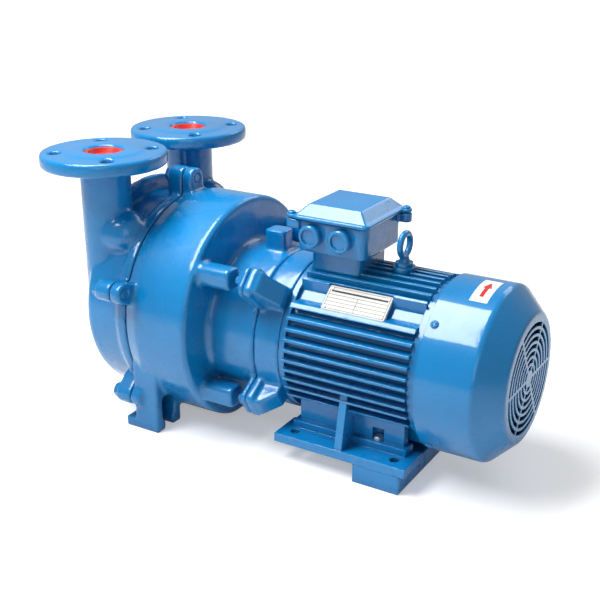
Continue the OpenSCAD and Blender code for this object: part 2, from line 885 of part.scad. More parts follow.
// Forward-leaning blade, an arc that leaves the hub radially
module blade_2d() intersection() {
    translate([hub_r - blade_root, blade_curve_r]) difference() {
        circle(blade_curve_r + blade_t / 2);
        circle(blade_curve_r - blade_t / 2);
    }
    circle(impeller_r);
    translate([hub_r - blade_root, -blade_t]) square([impeller_r, blade_curve_r]);
}

module impeller() color(bronze) difference() {
    axial(x_impeller) union() {
        linear_extrude(impeller_len) {
            circle(hub_r);
            for (i = [0:blade_n - 1]) rotate(360 * i / blade_n) blade_2d();
        }
        translate([0, 0, impeller_len - shroud_t]) cylinder(r = impeller_r - shroud_inset, h = shroud_t);
    }
    axial(x_impeller - eps) cylinder(r = shaft_d / 2 + fit, h = impeller_len + 2 * eps);
    key_space(x_impeller - eps, impeller_len + 2 * eps, fit);
}

module key_space(x, len, gap) {
    translate([x, -key_w / 2 - gap, shaft_h + shaft_d / 2 - key_h / 2 - gap])
        cube([len, key_w + 2 * gap, key_h + 2 * gap]);
}

module impeller_key() color(steel) key_space(x_impeller + key_inset, impeller_len - 2 * key_inset, 0);

module impeller_washer() color(steel) axial(x_impeller - nut_washer_t)
    tube(nut_thread_d / 2 + nut_washer_w, nut_thread_d / 2 + fit, nut_washer_t);

module impeller_nut() color(steel) axial(x_impeller - nut_washer_t - impeller_nut_h)
    hex_nut(nut_thread_d, impeller_nut_h);

module seal_seat() color("ivory") axial(x_seal_seat - seal_seat_proud)
    tube(seal_seat_r, shaft_d / 2 + shaft_pass, seal_seat_len);

module seal_head() color("#303338") axial(x_seal_head)
    tube(seal_head_r, shaft_d / 2 + fit, seal_head_len);

module seal_collar() color(steel) axial(x_seal_collar)
    tube(seal_head_r, shaft_d / 2 + fit, seal_collar_len);

module seal_spring() color(steel) {
    x0 = x_seal_collar + seal_collar_len + seal_wire_r + rub_gap;
    x1 = x_seal_head - seal_wire_r - rub_gap;
    pitch = (x1 - x0) / seal_turns;
    axial(x0) polyhedron(
        points = coil_points(seal_coil_r, seal_wire_r, pitch, seal_turns, wire_steps, wire_sides),
        faces = coil_faces(seal_turns * wire_steps + 1, wire_sides), convexity = 8);
}

module joint_bolts() color(steel) axial(x_joint - cover_lug_len, casing_z) around(lug_angles, joint_bolt_r)
    mirror([0, 0, 1]) hex_bolt(joint_bolt_d, cover_lug_len + casing_lug_len - thread_relief);

module drain_plug() color(steel) axial(x_cover - drain_boss_h, drain_z) mirror([0, 0, 1])
    hex_bolt(drain_thread_d, plug_thread_len);

module liquid_plug() color(steel) axial(x_cover - liquid_boss_h) mirror([0, 0, 1]) {
    hex(across_flats(liquid_thread_d), liquid_head_h);
    translate([0, 0, -plug_thread_len]) cylinder(d = liquid_thread_d, h = plug_thread_len + eps);
}

// Push-in transit plug: a thin cup with a dished top
module port_plug() {
    plug_r = port_bore_d / 2 - rub_gap;
    z_dish = port_plug_len - plug_dish;
    z_floor = z_dish - plug_floor;
    translate([x_port, port_spacing / 2, port_height - port_plug_sink - port_plug_len])
        rotate_extrude() polygon([
            [0, z_dish],
            [plug_r - plug_rim - plug_slope, z_dish],
            [plug_r - plug_rim, port_plug_len],
            [plug_r, port_plug_len],
            [plug_r, 2 * plug_lead],
            [plug_r - plug_lead, 0],
            [plug_r - plug_wall, 0],
            [plug_r - plug_wall, z_floor],
            [0, z_floor]]);
}

module suction_port_plug() color(red) port_plug();

module discharge_port_plug() color(red) mirror([0, 1, 0]) port_plug();

module drive_end_shield() color(paint) difference() {
    axial(x_flange) union() {
        drive_shield_body();
        for (p = stud_places) shield_ridge(p);
    }
    axial(x_flange - eps) at_studs()
        cylinder(d = stud_d + 2 * fit, h = stud_thread_len + thread_relief + eps);
    axial(x_flange - eps) around(quarter_angles, screw_circle_r)
        cylinder(d = screw_pocket_d, h = shield_len - shield_ear_t + eps);
    axial(x_frame - shield_ear_t - eps) around(quarter_angles, screw_circle_r)
        cylinder(d = shield_screw_d + 2 * bolt_clear, h = shield_ear_t + 2 * eps);
}

// Stud lug and the ridge that runs from it down to the frame
module shield_ridge(p) {
    r_top = norm(p) + ridge_over;
    linear_extrude(shield_lug_t) stud_lug_2d(p, shield_r - sink);
    rotate(angle_of(p)) translate([0, ridge_w / 2, 0]) rotate([90, 0, 0]) linear_extrude(ridge_w) polygon([
        [shield_r - sink, 0],
        [r_top, 0],
        [r_top, ridge_flat],
        [shield_r + ridge_end, shield_len],
        [shield_r - sink, shield_len]]);
}

module drive_shield_body() {
    hub_end = bearing_pocket_x + bearing_w + bearing_lip;
    spigot_r = stator_r - fit;
    rotate_extrude() polygon([
        [neck_bore_r - spigot_wall, -spigot_len],
        [neck_bore_r - fit, -spigot_len],
        [neck_bore_r - fit, 0],
        [shield_r, 0],
        [shield_r, shield_len],
        [spigot_r, shield_len],
        [spigot_r, shield_len + spigot_len],
        [spigot_r - spigot_wall, shield_len + spigot_len],
        [spigot_r - spigot_wall, web_back_x],
        [bearing_r + bearing_wall, web_back_x],
        [bearing_r + bearing_wall, hub_end],
        [bearing_r + fit, hub_end],
        [bearing_r + fit, bearing_pocket_x],
        [lip_seal_r + fit, bearing_pocket_x],
        [lip_seal_r + fit, lip_seal_x],
        [shaft_d / 2 + shaft_pass, lip_seal_x],
        [shaft_d / 2 + shaft_pass, web_x],
        [neck_bore_r - spigot_wall, web_x]]);
}

module shield_studs() color(steel) axial(x_flange - stud_out) at_studs()
    cylinder(d = stud_d, h = stud_out + stud_thread_len);

module stud_nuts() color(steel) axial(x_flange - neck_lug_t - nut_height(stud_d)) at_studs()
    hex_nut(stud_d, nut_height(stud_d));

module slinger_ring() color("#222222") axial(x_flange) rotate_extrude() polygon([
    [shaft_d / 2 + fit, 0],
    [shaft_d / 2 + slinger_bead, 0],
    [shaft_d / 2 + slinger_lip, slinger_len - slinger_edge],
    [shaft_d / 2 + slinger_lip, slinger_len],
    [shaft_d / 2 + fit, slinger_len]]);

module lip_seal() color("#222222") axial(x_flange + lip_seal_x)
    tube(lip_seal_r, shaft_d / 2 + rub_gap, lip_seal_len);

module motor_shaft() color(steel) difference() {
    shoulder_d = bearing_bore + 2 * shaft_shoulder;
    union() {
        shaft_step(x_shaft_end, x_impeller, nut_thread_d);
        shaft_step(x_impeller, x_drive_bearing, shaft_d);
        shaft_step(x_drive_bearing, x_drive_bearing + bearing_w, bearing_bore);
        shaft_step(x_drive_bearing + bearing_w, x_core, shoulder_d);
        shaft_step(x_core, x_core + core_len, rotor_seat_d);
        shaft_step(x_core + core_len, x_fan_bearing, shoulder_d);
        shaft_step(x_fan_bearing, x_fan_bearing + bearing_w, bearing_bore);
        shaft_step(x_fan_bearing + bearing_w, x_fan_stub, fan_seat_d);
    }
    key_space(x_impeller + key_inset - fit, impeller_len - 2 * key_inset + 2 * fit, fit);
}

module shaft_step(x0, x1, d) {
    axial(x0) cylinder(d = d, h = x1 - x0);
}

module rotor_core() color("#8d9196") axial(x_core - rotor_ring_len) difference() {
    ring_r = rotor_r - rotor_ring_inset;
    union() {
        translate([0, 0, rotor_ring_len]) cylinder(r = rotor_r, h = core_len);
        tube(ring_r, ring_r - rotor_ring_w, core_len + 2 * rotor_ring_len);
    }
    translate([0, 0, -eps]) cylinder(d = rotor_seat_d + 2 * fit, h = core_len + 2 * rotor_ring_len + 2 * eps);
}

module stator_core() color("#8d9196") axial(x_core) tube(stator_r, stator_bore_r, core_len);

// Wound end turns, a round-cornered ring at each end of the core
module stator_winding() color("#b5622b") {
    for (x = [x_core - winding_len, x_core + core_len]) axial(x) rotate_extrude()
        translate([(stator_bore_r + stator_r) / 2, winding_len / 2])
            rounded_rect(winding_w, winding_len, winding_corner);
}

// Cross-section of the fins: level bars on the sides, upright bars above and below
module fin_section() intersection() {
    circle(fin_tip_r);
    union() {
        for (k = [-fin_side_n:fin_side_n]) translate([0, k * fin_pitch])
            square([2 * fin_tip_r, fin_t], center = true);
        translate([0, thick_fin_z]) square([2 * fin_tip_r, thick_fin_t], center = true);
        for (k = [0:fin_top_n - 1], s = [-1, 1]) translate([s * (k + 0.5) * fin_top_pitch, 0])
            square([fin_t, 2 * fin_tip_r], center = true);
    }
}

module motor_foot() {
    pad_top = foot_t + foot_pad_h;
    rib_y = foot_y - foot_rib_edge;
    difference() {
        union() {
            translate([x_frame, -foot_y, foot_z]) cube([foot_len, foot_y - foot_in_y, foot_t]);
            translate([x_frame + foot_pad_inset, -foot_pad_y, foot_z])
                cube([foot_len - 2 * foot_pad_inset, foot_pad_y - foot_in_y, pad_top]);
            translate([x_frame + foot_web_inset, -foot_web_y, foot_z])
                cube([foot_len - 2 * foot_web_inset, foot_web_t, shaft_h - foot_web_drop - foot_z]);
            translate([foot_mid_x + foot_rib_t / 2, 0, 0]) rotate([0, -90, 0]) linear_extrude(foot_rib_t)
                polygon([
                    [foot_z, -foot_in_y],
                    [foot_z, -rib_y],
                    [foot_z + foot_t + foot_rib_lip, -rib_y],
                    [shaft_h - foot_rib_drop, -frame_r],
                    [shaft_h - foot_rib_drop, -foot_in_y]]);
        }
        for (s = [-1, 1]) translate([foot_mid_x + s * foot_hole_x / 2, -foot_hole_y / 2, foot_z - eps])
            cylinder(d = foot_hole_d, h = foot_t + 2 * eps);
        translate([block_screw_x, -block_screw_y, foot_z - eps])
            cylinder(d = block_screw_d + 2 * bolt_clear, h = pad_top + 2 * eps);
        translate([block_screw_x, -block_screw_y, foot_z + pad_top])
            cylinder(d = 2 * block_screw_d, h = 2 * block_screw_d);
    }
}

module motor_frame() color(paint) difference() {
    union() {
        axial(x_frame) cylinder(r = frame_r, h = frame_len);
        axial(x_frame) cylinder(r = end_ring_r, h = end_ring_len);
        axial(x_cowl - fan_ring_len) cylinder(r = end_ring_r, h = fan_ring_len);
        axial(x_frame + end_ring_len - eps)
            linear_extrude(frame_len - end_ring_len - fan_ring_len + 2 * eps) fin_section();
        both_sides() motor_foot();
        translate([box_x, 0, shaft_h + frame_r - sink]) linear_extrude(box_floor - frame_r + sink)
            rounded_rect(box_seat_l, box_seat_w, box_seat_corner);
        translate([x_frame + eye_x, 0, shaft_h + frame_r - sink])
            cylinder(r = eye_boss_r, h = eye_boss_z - frame_r + sink);
        on_plate_pad() translate([0, 0, frame_r - plate_pad_r - sink])
            linear_extrude(plate_pad_r - frame_r + sink) plate_pad_2d();
    }
    on_plate_pad() linear_extrude(fin_tip_r) plate_pad_2d();
    axial(x_frame - eps) cylinder(r = stator_r + fit, h = frame_len + 2 * eps);
    translate([x_frame + eye_x, 0, shaft_h + eye_boss_z - eye_thread_len - thread_relief])
        cylinder(d = eye_thread_d + 2 * fit, h = eye_thread_len + thread_relief + eps);
    for (x = [x_frame - eps, x_cowl - shield_screw_bite - thread_relief])
        axial(x) around(quarter_angles, screw_circle_r)
            cylinder(d = shield_screw_d + 2 * fit, h = shield_screw_bite + thread_relief + eps);
    plate_rivet_places() translate([0, 0, -rivet_len - thread_relief])
        cylinder(d = rivet_d + 2 * fit, h = rivet_len + thread_relief + eps);
}

module plate_pad_2d() {
    square([plate_l + 2 * plate_margin, plate_w + 2 * plate_margin], center = true);
}

// Puts local z out of the nameplate's pad, at the pad's middle
module on_plate_pad() {
    translate([x_frame + plate_mid, 0, shaft_h]) rotate([90 - plate_angle, 0, 0])
        translate([0, 0, plate_pad_r]) children();
}

module plate_rivet_places() {
    dx = plate_l / 2 - rivet_inset;
    dy = plate_w / 2 - rivet_inset;
    on_plate_pad() for (x = [-1, 1], y = [-1, 1]) translate([x * dx, y * dy, 0]) children();
}

module bearing_outer(x) color(steel) axial(x) rotate_extrude() difference() {
    translate([ball_circle_r + race_gap, 0]) square([bearing_r - ball_circle_r - race_gap, bearing_w]);
    translate([ball_circle_r, bearing_w / 2]) circle(ball_d / 2 + rub_gap);
}

module bearing_inner(x) color(steel) axial(x) rotate_extrude() difference() {
    bore_r = bearing_bore / 2 + fit;
    translate([bore_r, 0]) square([ball_circle_r - race_gap - bore_r, bearing_w]);
    translate([ball_circle_r, bearing_w / 2]) circle(ball_d / 2 + rub_gap);
}

module bearing_balls(x) axial(x + bearing_w / 2) {
    places = [for (i = [0:ball_n - 1]) 360 * i / ball_n];
    color(steel) around(places, ball_circle_r) sphere(d = ball_d);
    color(bronze) difference() {
        translate([0, 0, -cage_len / 2])
            tube(ball_circle_r + cage_t / 2, ball_circle_r - cage_t / 2, cage_len);
        around(places, ball_circle_r) rotate([0, 90, 0])
            cylinder(r = ball_d / 2 + rub_gap, h = 3 * cage_t, center = true);
    }
}

module drive_bearing_outer() bearing_outer(x_drive_bearing);
module drive_bearing_balls() bearing_balls(x_drive_bearing);
module drive_bearing_inner() bearing_inner(x_drive_bearing);
module fan_bearing_outer() bearing_outer(x_fan_bearing);
module fan_bearing_balls() bearing_balls(x_fan_bearing);
module fan_bearing_inner() bearing_inner(x_fan_bearing);

module fan_end_shield() color(paint) difference() {
    axial(x_cowl) union() {
        fan_shield_body();
        translate([0, 0, cowl_lug_x]) linear_extrude(cowl_lug_len) intersection() {
            circle(cowl_r - cowl_t - fit);
            for (a = diagonal_angles) rotate(a)
                translate([end_ring_r - 2 * sink, -cowl_lug_w / 2]) square([cowl_r, cowl_lug_w]);
        }
    }
    axial(x_cowl - eps) around(quarter_angles, screw_circle_r)
        cylinder(d = shield_screw_d + 2 * bolt_clear, h = fan_shield_t + 2 * eps);
    cowl_screw_places() translate([0, 0, -cowl_screw_len - thread_relief])
        cylinder(d = cowl_screw_d + 2 * fit, h = cowl_screw_len + thread_relief);
}

module fan_shield_body() {
    pocket = x_fan_bearing + bearing_w - x_cowl;
    rim = pocket - bearing_w - bearing_lip;
    spigot_r = stator_r - fit;
    rotate_extrude() polygon([
        [spigot_r - spigot_wall, -spigot_len],
        [spigot_r, -spigot_len],
        [spigot_r, 0],
        [end_ring_r, 0],
        [end_ring_r, fan_shield_t],
        [bearing_bore / 2 + shaft_pass, fan_shield_t],
        [bearing_bore / 2 + shaft_pass, pocket],
        [bearing_r + fit, pocket],
        [bearing_r + fit, rim],
        [bearing_r + bearing_wall, rim],
        [bearing_r + bearing_wall, fan_shield_t - fan_web_t],
        [spigot_r - spigot_wall, fan_shield_t - fan_web_t]]);
}

module fan_shield_screws() color(steel) axial(x_cowl + fan_shield_t)
    around(quarter_angles, screw_circle_r) hex_bolt(shield_screw_d, fan_shield_t + shield_screw_bite);

module drive_shield_screws() color(steel) axial(x_frame - shield_ear_t)
    around(quarter_angles, screw_circle_r) mirror([0, 0, 1])
        hex_bolt(shield_screw_d, shield_ear_t + shield_screw_bite);

module cowl_screw_places() axial(x_cowl + cowl_lug_x + cowl_lug_len / 2) for (a = diagonal_angles)
    rotate(a) translate([cowl_r, 0, 0]) rotate([0, 90, 0]) children();

module cowl_screws() color(steel) cowl_screw_places() translate([0, 0, cowl_screw_lift]) {
    cylinder(d = 2 * cowl_screw_d, h = cowl_screw_d / 2);
    translate([0, 0, -cowl_screw_len]) cylinder(d = cowl_screw_d, h = cowl_screw_len + eps);
}

module fan() color("#20242a") axial(x_fan) {
    tube(fan_hub_r, fan_seat_d / 2 + fit, fan_hub_len);
    translate([0, 0, fan_hub_len - fan_disc_t - fan_blade_t])
        tube(fan_r - fan_disc_t, fan_hub_r - fan_disc_t, fan_disc_t);
    for (i = [0:fan_blades - 1]) rotate(360 * i / fan_blades)
        translate([fan_hub_r - fan_blade_t, -fan_blade_t / 2, 0])
            cube([fan_r - fan_hub_r + fan_blade_t, fan_blade_t, fan_hub_len - fan_blade_t]);
}

module fan_circlip() color(steel) axial(x_circlip)
    tube(fan_seat_d / 2 + circlip_w, fan_seat_d / 2 + fit, circlip_t);

// Half outline of the cowl: straight skirt, chamfer with rounded edges, flat end
module cowl_outline(r, len, chamfer, edge) {
    tangent = edge * tan(22.5);
    polygon(concat(
        [[0, 0], [r, 0]],
        arc_points(r - edge, len - chamfer - tangent, edge, 0, 45),
        arc_points(r - chamfer - tangent, len - edge, edge, 45, 90),
        [[0, len]]));
}

module grille_slots_2d() {
    pitch = (cowl_r - cowl_chamfer - cowl_edge) / (grille_rings + 1);
    difference() {
        union() for (i = [1:grille_rings]) difference() {
            circle((i + 0.8) * pitch);
            circle((i + 0.2) * pitch);
        }
        for (i = [0:grille_spokes - 1]) rotate(360 * i / grille_spokes)
            translate([0, -grille_bar / 2]) square([cowl_r, grille_bar]);
    }
}

module fan_cowl() color(paint) difference() {
    inner_chamfer = cowl_chamfer - (2 - sqrt(2)) * cowl_t;
    axial(x_cowl) rotate_extrude() difference() {
        cowl_outline(cowl_r, cowl_len, cowl_chamfer, cowl_edge);
        translate([0, -eps])
            cowl_outline(cowl_r - cowl_t, cowl_len - cowl_t + eps, inner_chamfer, cowl_edge - cowl_t);
    }
    axial(x_cowl + cowl_len - cowl_t - eps) linear_extrude(cowl_t + 2 * eps) grille_slots_2d();
    cowl_screw_places() cylinder(d = cowl_screw_d + 2 * bolt_clear, h = 4 * cowl_t, center = true);
}

module lid_ears_2d(r) {
    for (s = [-1, 1]) translate([s * lid_ear_x, s * lid_ear_y]) circle(r);
}

module terminal_box() color(paint) difference() {
    translate([box_x, 0, box_z]) union() {
        linear_extrude(box_h) rounded_rect(box_l, box_w, box_corner);
        translate([0, 0, box_h - lid_ear_h]) linear_extrude(lid_ear_h) {
            lid_ears_2d(lid_ear_r);
            for (s = [-1, 1]) translate([s * (lid_ear_x - lid_ear_r), s * lid_ear_y])
                square(2 * lid_ear_r, center = true);
        }
    }
    translate([box_x, 0, box_z + box_wall]) linear_extrude(box_h) box_inside_2d();
    entry_places() translate([0, 0, -eps]) cylinder(r = entry_thread_r + fit, h = box_wall + 2 * eps);
    translate([box_x, 0, lid_z - box_gasket_t - lid_screw_bite - thread_relief])
        linear_extrude(lid_screw_bite + thread_relief + eps) lid_ears_2d(lid_screw_d / 2 + fit);
}

module box_inside_2d() {
    rounded_rect(box_l - 2 * box_wall, box_w - 2 * box_wall, box_corner - box_wall);
}

// Each cable entry, from the inside of the wall outwards
module entry_places() for (s = [-1, 1])
    translate([entry_x + s * entry_gap / 2, -box_w / 2 + box_wall, entry_z]) rotate([90, 0, 0]) children();

module cable_entry_plugs() color(paint) entry_places() rotate_extrude() polygon([
    [0, 0],
    [entry_thread_r, 0],
    [entry_thread_r, box_wall],
    [entry_r, box_wall],
    [entry_r, box_wall + entry_cap - entry_chamfer],
    [entry_r - entry_chamfer, box_wall + entry_cap],
    [entry_r - entry_chamfer - entry_rim, box_wall + entry_cap],
    [entry_r - 2 * entry_rim, box_wall + entry_cap - entry_dish],
    [0, box_wall + entry_cap - entry_dish]]);

module box_gasket() color("#222222") translate([box_x, 0, lid_z - box_gasket_t])
    linear_extrude(box_gasket_t) difference() {
        rounded_rect(box_l, box_w, box_corner);
        box_inside_2d();
    }

module lid_dome(l, w, h) hull() {
    linear_extrude(slab) square([l, w], center = true);
    translate([0, 0, h - slab]) linear_extrude(slab)
        square([l - 2 * lid_slope, w - 2 * lid_slope], center = true);
}

module terminal_lid() color(paint) translate([box_x, 0, lid_z]) difference() {
    dome_in = 2 * (box_wall + box_corner);
    union() {
        linear_extrude(lid_rim) {
            rounded_rect(box_l + 2 * lid_over, box_w + 2 * lid_over, box_corner);
            lid_ears_2d(lid_ear_r);
            for (s = [-1, 1]) translate([s * (lid_ear_x - lid_ear_r), s * lid_ear_y])
                square(2 * lid_ear_r, center = true);
        }
        translate([0, 0, lid_rim - slab])
            lid_dome(box_l + 2 * lid_lip, box_w + 2 * lid_lip, lid_slope + slab);
    }
    translate([0, 0, -eps]) linear_extrude(lid_rim + eps) box_inside_2d();
    translate([0, 0, lid_rim - slab]) lid_dome(box_l - dome_in, box_w - dome_in, lid_slope - lid_roof);
    translate([0, 0, -eps]) linear_extrude(lid_rim + 2 * eps) lid_ears_2d(lid_screw_d / 2 + bolt_clear);
}

module lid_screws() color(steel) translate([box_x, 0, lid_z + lid_rim]) {
    shank = lid_rim + box_gasket_t + lid_screw_bite;
    linear_extrude(head_height(lid_screw_d)) lid_ears_2d(lid_screw_d);
    translate([0, 0, -shank]) linear_extrude(shank + eps) lid_ears_2d(lid_screw_d / 2);
}

module terminal_board() color("#5b3a29") translate([box_x, 0, box_z + box_wall]) difference() {
    linear_extrude(board_h) rounded_rect(board_l, board_w, board_corner);
    terminal_places() cylinder(d = terminal_d + 2 * fit, h = board_h);
}

module terminal_places() for (x = [-1, 0, 1], y = [-1, 1])
    translate([x * terminal_dx, y * terminal_dy, thread_relief]) children();

module terminal_studs() color("#c9a24a") translate([box_x, 0, box_z + box_wall]) terminal_places() {
    cylinder(d = terminal_d, h = terminal_h);
    translate([0, 0, board_h - thread_relief]) hex(across_flats(terminal_d), nut_height(terminal_d));
}

module eyebolt() color(paint) translate([x_frame + eye_x, 0, shaft_h + eye_boss_z]) {
    wire_r = (eye_od - eye_id) / 4;
    translate([0, 0, eye_lift + eye_od / 2]) rotate([0, 90, 0]) rotate_extrude()
        translate([eye_id / 2 + wire_r, 0]) circle(wire_r);
    cylinder(r = eye_collar_r, h = eye_collar_h);
    cylinder(r1 = eye_collar_r - 2, r2 = eye_neck_r, h = eye_lift + wire_r);
    translate([0, 0, -eye_thread_len]) cylinder(d = eye_thread_d, h = eye_thread_len + eps);
}

module nameplate() color("#d9dadc") difference() {
    on_plate_pad() linear_extrude(plate_th) rounded_rect(plate_l, plate_w, plate_corner);
    plate_rivet_places() translate([0, 0, -eps]) cylinder(d = rivet_d + 2 * fit, h = plate_th + 2 * eps);
}

module nameplate_rivets() color(steel) plate_rivet_places() {
    translate([0, 0, plate_th]) cylinder(r1 = rivet_head_r, r2 = rivet_d / 2, h = rivet_head_h);
    translate([0, 0, -rivet_len]) cylinder(d = rivet_d, h = rivet_len + plate_th + slab);
}

module support_block() color(paint) difference() {
    translate([block_x, -foot_y, 0]) cube([block_len, 2 * foot_y, foot_z]);
    both_sides() {
        translate([foot_mid_x + foot_hole_x / 2, -foot_hole_y / 2, -eps])
            cylinder(d = foot_hole_d, h = foot_z + 2 * eps);
        translate([block_screw_x, -block_screw_y, foot_z - block_screw_bite - thread_relief])
            cylinder(d = block_screw_d + 2 * fit, h = block_screw_bite + thread_relief + eps);
    }
}

module block_screws() color(steel) both_sides()
    translate([block_screw_x, -block_screw_y, foot_z + foot_t + foot_pad_h])
        hex_bolt(block_screw_d, foot_t + foot_pad_h + block_screw_bite);

pump_casing();
port_cover();
port_plate();
joint_gasket();
discharge_valve();
valve_stop();
impeller();
impeller_key();
impeller_washer();
impeller_nut();
seal_seat();
seal_head();
seal_spring();
seal_collar();
joint_bolts();
drain_plug();
liquid_plug();
suction_port_plug();
discharge_port_plug();
drive_end_shield();
shield_studs();
stud_nuts();
slinger_ring();
lip_seal();
motor_shaft();
rotor_core();
stator_core();
stator_winding();
motor_frame();
drive_bearing_outer();
drive_bearing_balls();
drive_bearing_inner();
fan_bearing_outer();
fan_bearing_balls();
fan_bearing_inner();
fan_end_shield();
fan_shield_screws();
drive_shield_screws();
fan();
fan_circlip();
fan_cowl();
cowl_screws();
terminal_box();
box_gasket();
terminal_lid();
lid_screws();
terminal_board();
terminal_studs();
cable_entry_plugs();
eyebolt();
nameplate();
nameplate_rivets();
support_block();
block_screws();
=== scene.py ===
# %% [markdown]
# # A liquid ring vacuum pump in gloss blue enamel
# The imported model already holds every solid of the pump, at its real size and place, in metres.
# This lesson dresses it: soft cast edges, fasteners with proper heads, a label, paint, light and a camera.
# First the frame is loaded.

# %% Load the frame
import json
import math

import bmesh
import bpy
import numpy as np
from mathutils import Matrix, Vector

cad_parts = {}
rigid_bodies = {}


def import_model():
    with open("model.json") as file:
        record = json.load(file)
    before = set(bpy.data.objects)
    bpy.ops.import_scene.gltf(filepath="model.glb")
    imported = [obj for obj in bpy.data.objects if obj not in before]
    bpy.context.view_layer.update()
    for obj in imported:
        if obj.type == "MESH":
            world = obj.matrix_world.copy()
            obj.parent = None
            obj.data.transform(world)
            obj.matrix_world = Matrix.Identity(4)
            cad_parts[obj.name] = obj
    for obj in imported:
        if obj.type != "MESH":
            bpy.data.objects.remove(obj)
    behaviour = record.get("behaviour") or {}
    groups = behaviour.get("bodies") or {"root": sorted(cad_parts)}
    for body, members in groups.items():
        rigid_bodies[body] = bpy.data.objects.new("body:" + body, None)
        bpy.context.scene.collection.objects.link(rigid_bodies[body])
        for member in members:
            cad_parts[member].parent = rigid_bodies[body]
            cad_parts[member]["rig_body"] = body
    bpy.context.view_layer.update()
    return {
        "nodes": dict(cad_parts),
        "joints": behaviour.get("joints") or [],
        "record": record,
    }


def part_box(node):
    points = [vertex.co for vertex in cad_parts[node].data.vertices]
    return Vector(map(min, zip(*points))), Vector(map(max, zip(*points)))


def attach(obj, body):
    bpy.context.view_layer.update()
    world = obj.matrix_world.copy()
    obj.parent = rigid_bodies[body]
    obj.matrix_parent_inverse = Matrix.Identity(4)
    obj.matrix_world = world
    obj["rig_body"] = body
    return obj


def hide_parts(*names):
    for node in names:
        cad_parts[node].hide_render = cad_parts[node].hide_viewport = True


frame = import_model()
nodes = frame["nodes"]
MM = 0.001
joints = {joint["name"]: joint for joint in frame["joints"]}
shaft = Vector(joints["rotor_spin"]["pos_m"])

# %% [markdown]
# ## The camera
# The camera stands at the photograph's viewing angle: a little above the motor's fan end, to one side.
# Its distance sets the perspective, so that is fitted to the picture first. The lens then fills the frame.

# %% Camera
AZIMUTH = math.radians(31.1)
ELEVATION = math.radians(21.1)
DISTANCE = 1.3547
LENS_MM = 61.5
target = Vector((0.004, 0.0, 0.174))
towards_camera = Vector((math.sin(AZIMUTH) * math.cos(ELEVATION),
                         -math.cos(AZIMUTH) * math.cos(ELEVATION),
                         math.sin(ELEVATION)))
camera = bpy.data.objects.new("camera", bpy.data.cameras.new("camera"))
camera.data.lens = LENS_MM
camera.location = target + DISTANCE * towards_camera
camera.rotation_euler = (-towards_camera).to_track_quat("-Z", "Y").to_euler()
bpy.context.scene.collection.objects.link(camera)
bpy.context.scene.camera = camera
print("camera at", [round(v, 3) for v in camera.location])

# %% [markdown]
# ## A short way to write materials
# Every finish here is a Principled shader fed by object coordinates, so that a pattern keeps its real scale
# and never slides. A small class keeps the node code short: each method adds one node and returns its output.

# %% Material helper
CLOUD = (0.3, 0.7)  # nearly all of a noise texture lies between these two values


class Finish:
    """A material with a Principled shader, and methods that each add one node and hand back its output."""

    def __init__(self, name, **sockets):
        self.material = bpy.data.materials.new(name)
        self.material.use_nodes = True
        self.tree = self.material.node_tree
        self.shader = self.tree.nodes["Principled BSDF"]
        self.coords = self.tree.nodes.new("ShaderNodeTexCoord").outputs["Object"]
        for words, value in sockets.items():
            self.shader.inputs[words.replace("_", " ")].default_value = value

    def add(self, kind, inputs, output=0, **settings):
        """A node of one kind: inputs are values or other nodes' outputs, by socket name or number."""
        node = self.tree.nodes.new(kind)
        for key, value in settings.items():
            setattr(node, key, value)
        for key, value in inputs.items():
            if isinstance(value, bpy.types.NodeSocket):
                self.tree.links.new(value, node.inputs[key])
            else:
                node.inputs[key].default_value = value
        return node.outputs[output]

    def noise(self, scale, detail=3.0, stretch=(1, 1, 1)):
        """Cloudy noise from 0 to 1, by its blotches per metre, finer octaves and scale along each axis."""
        place = self.add("ShaderNodeMapping", {"Vector": self.coords, "Scale": stretch})
        return self.add("ShaderNodeTexNoise", {"Vector": place, "Scale": scale, "Detail": detail})

    def ramp(self, factor, low, high, dark, light):
        """A colour that goes from dark to light as the factor goes from low to high."""
        output = self.add("ShaderNodeValToRGB", {"Fac": factor})
        stops = output.node.color_ramp.elements
        stops[0].position, stops[0].color = low, (*dark, 1)
        stops[1].position, stops[1].color = high, (*light, 1)
        return output

    def level(self, factor, low, high, at_low, at_high):
        """A number that goes from at_low to at_high as the factor goes from low to high."""
        return self.add("ShaderNodeMapRange", {"Value": factor, "From Min": low, "From Max": high,
                                               "To Min": at_low, "To Max": at_high})

    def mix(self, factor, first, second):
        """A node's colour that turns into a second, plain colour as the factor goes from 0 to 1."""
        return self.add("ShaderNodeMix", {0: factor, 6: first, 7: (*second, 1)}, output=2, data_type="RGBA")

    def product(self, first, second):
        """Two numbers multiplied."""
        return self.add("ShaderNodeMath", {0: first, 1: second}, operation="MULTIPLY")

    def bump(self, height, depth, normal=None):
        """Surface relief of a real depth in metres, over an optional rounded normal."""
        inputs = {"Height": height, "Distance": depth, "Strength": 1.0}
        if normal is not None:
            inputs["Normal"] = normal
        return self.add("ShaderNodeBump", inputs)

    def use(self, **sockets):
        """Links outputs to the shader's sockets and returns the finished material."""
        for words, output in sockets.items():
            self.tree.links.new(output, self.shader.inputs[words.replace("_", " ")])
        return self.material


print("material helper ready")
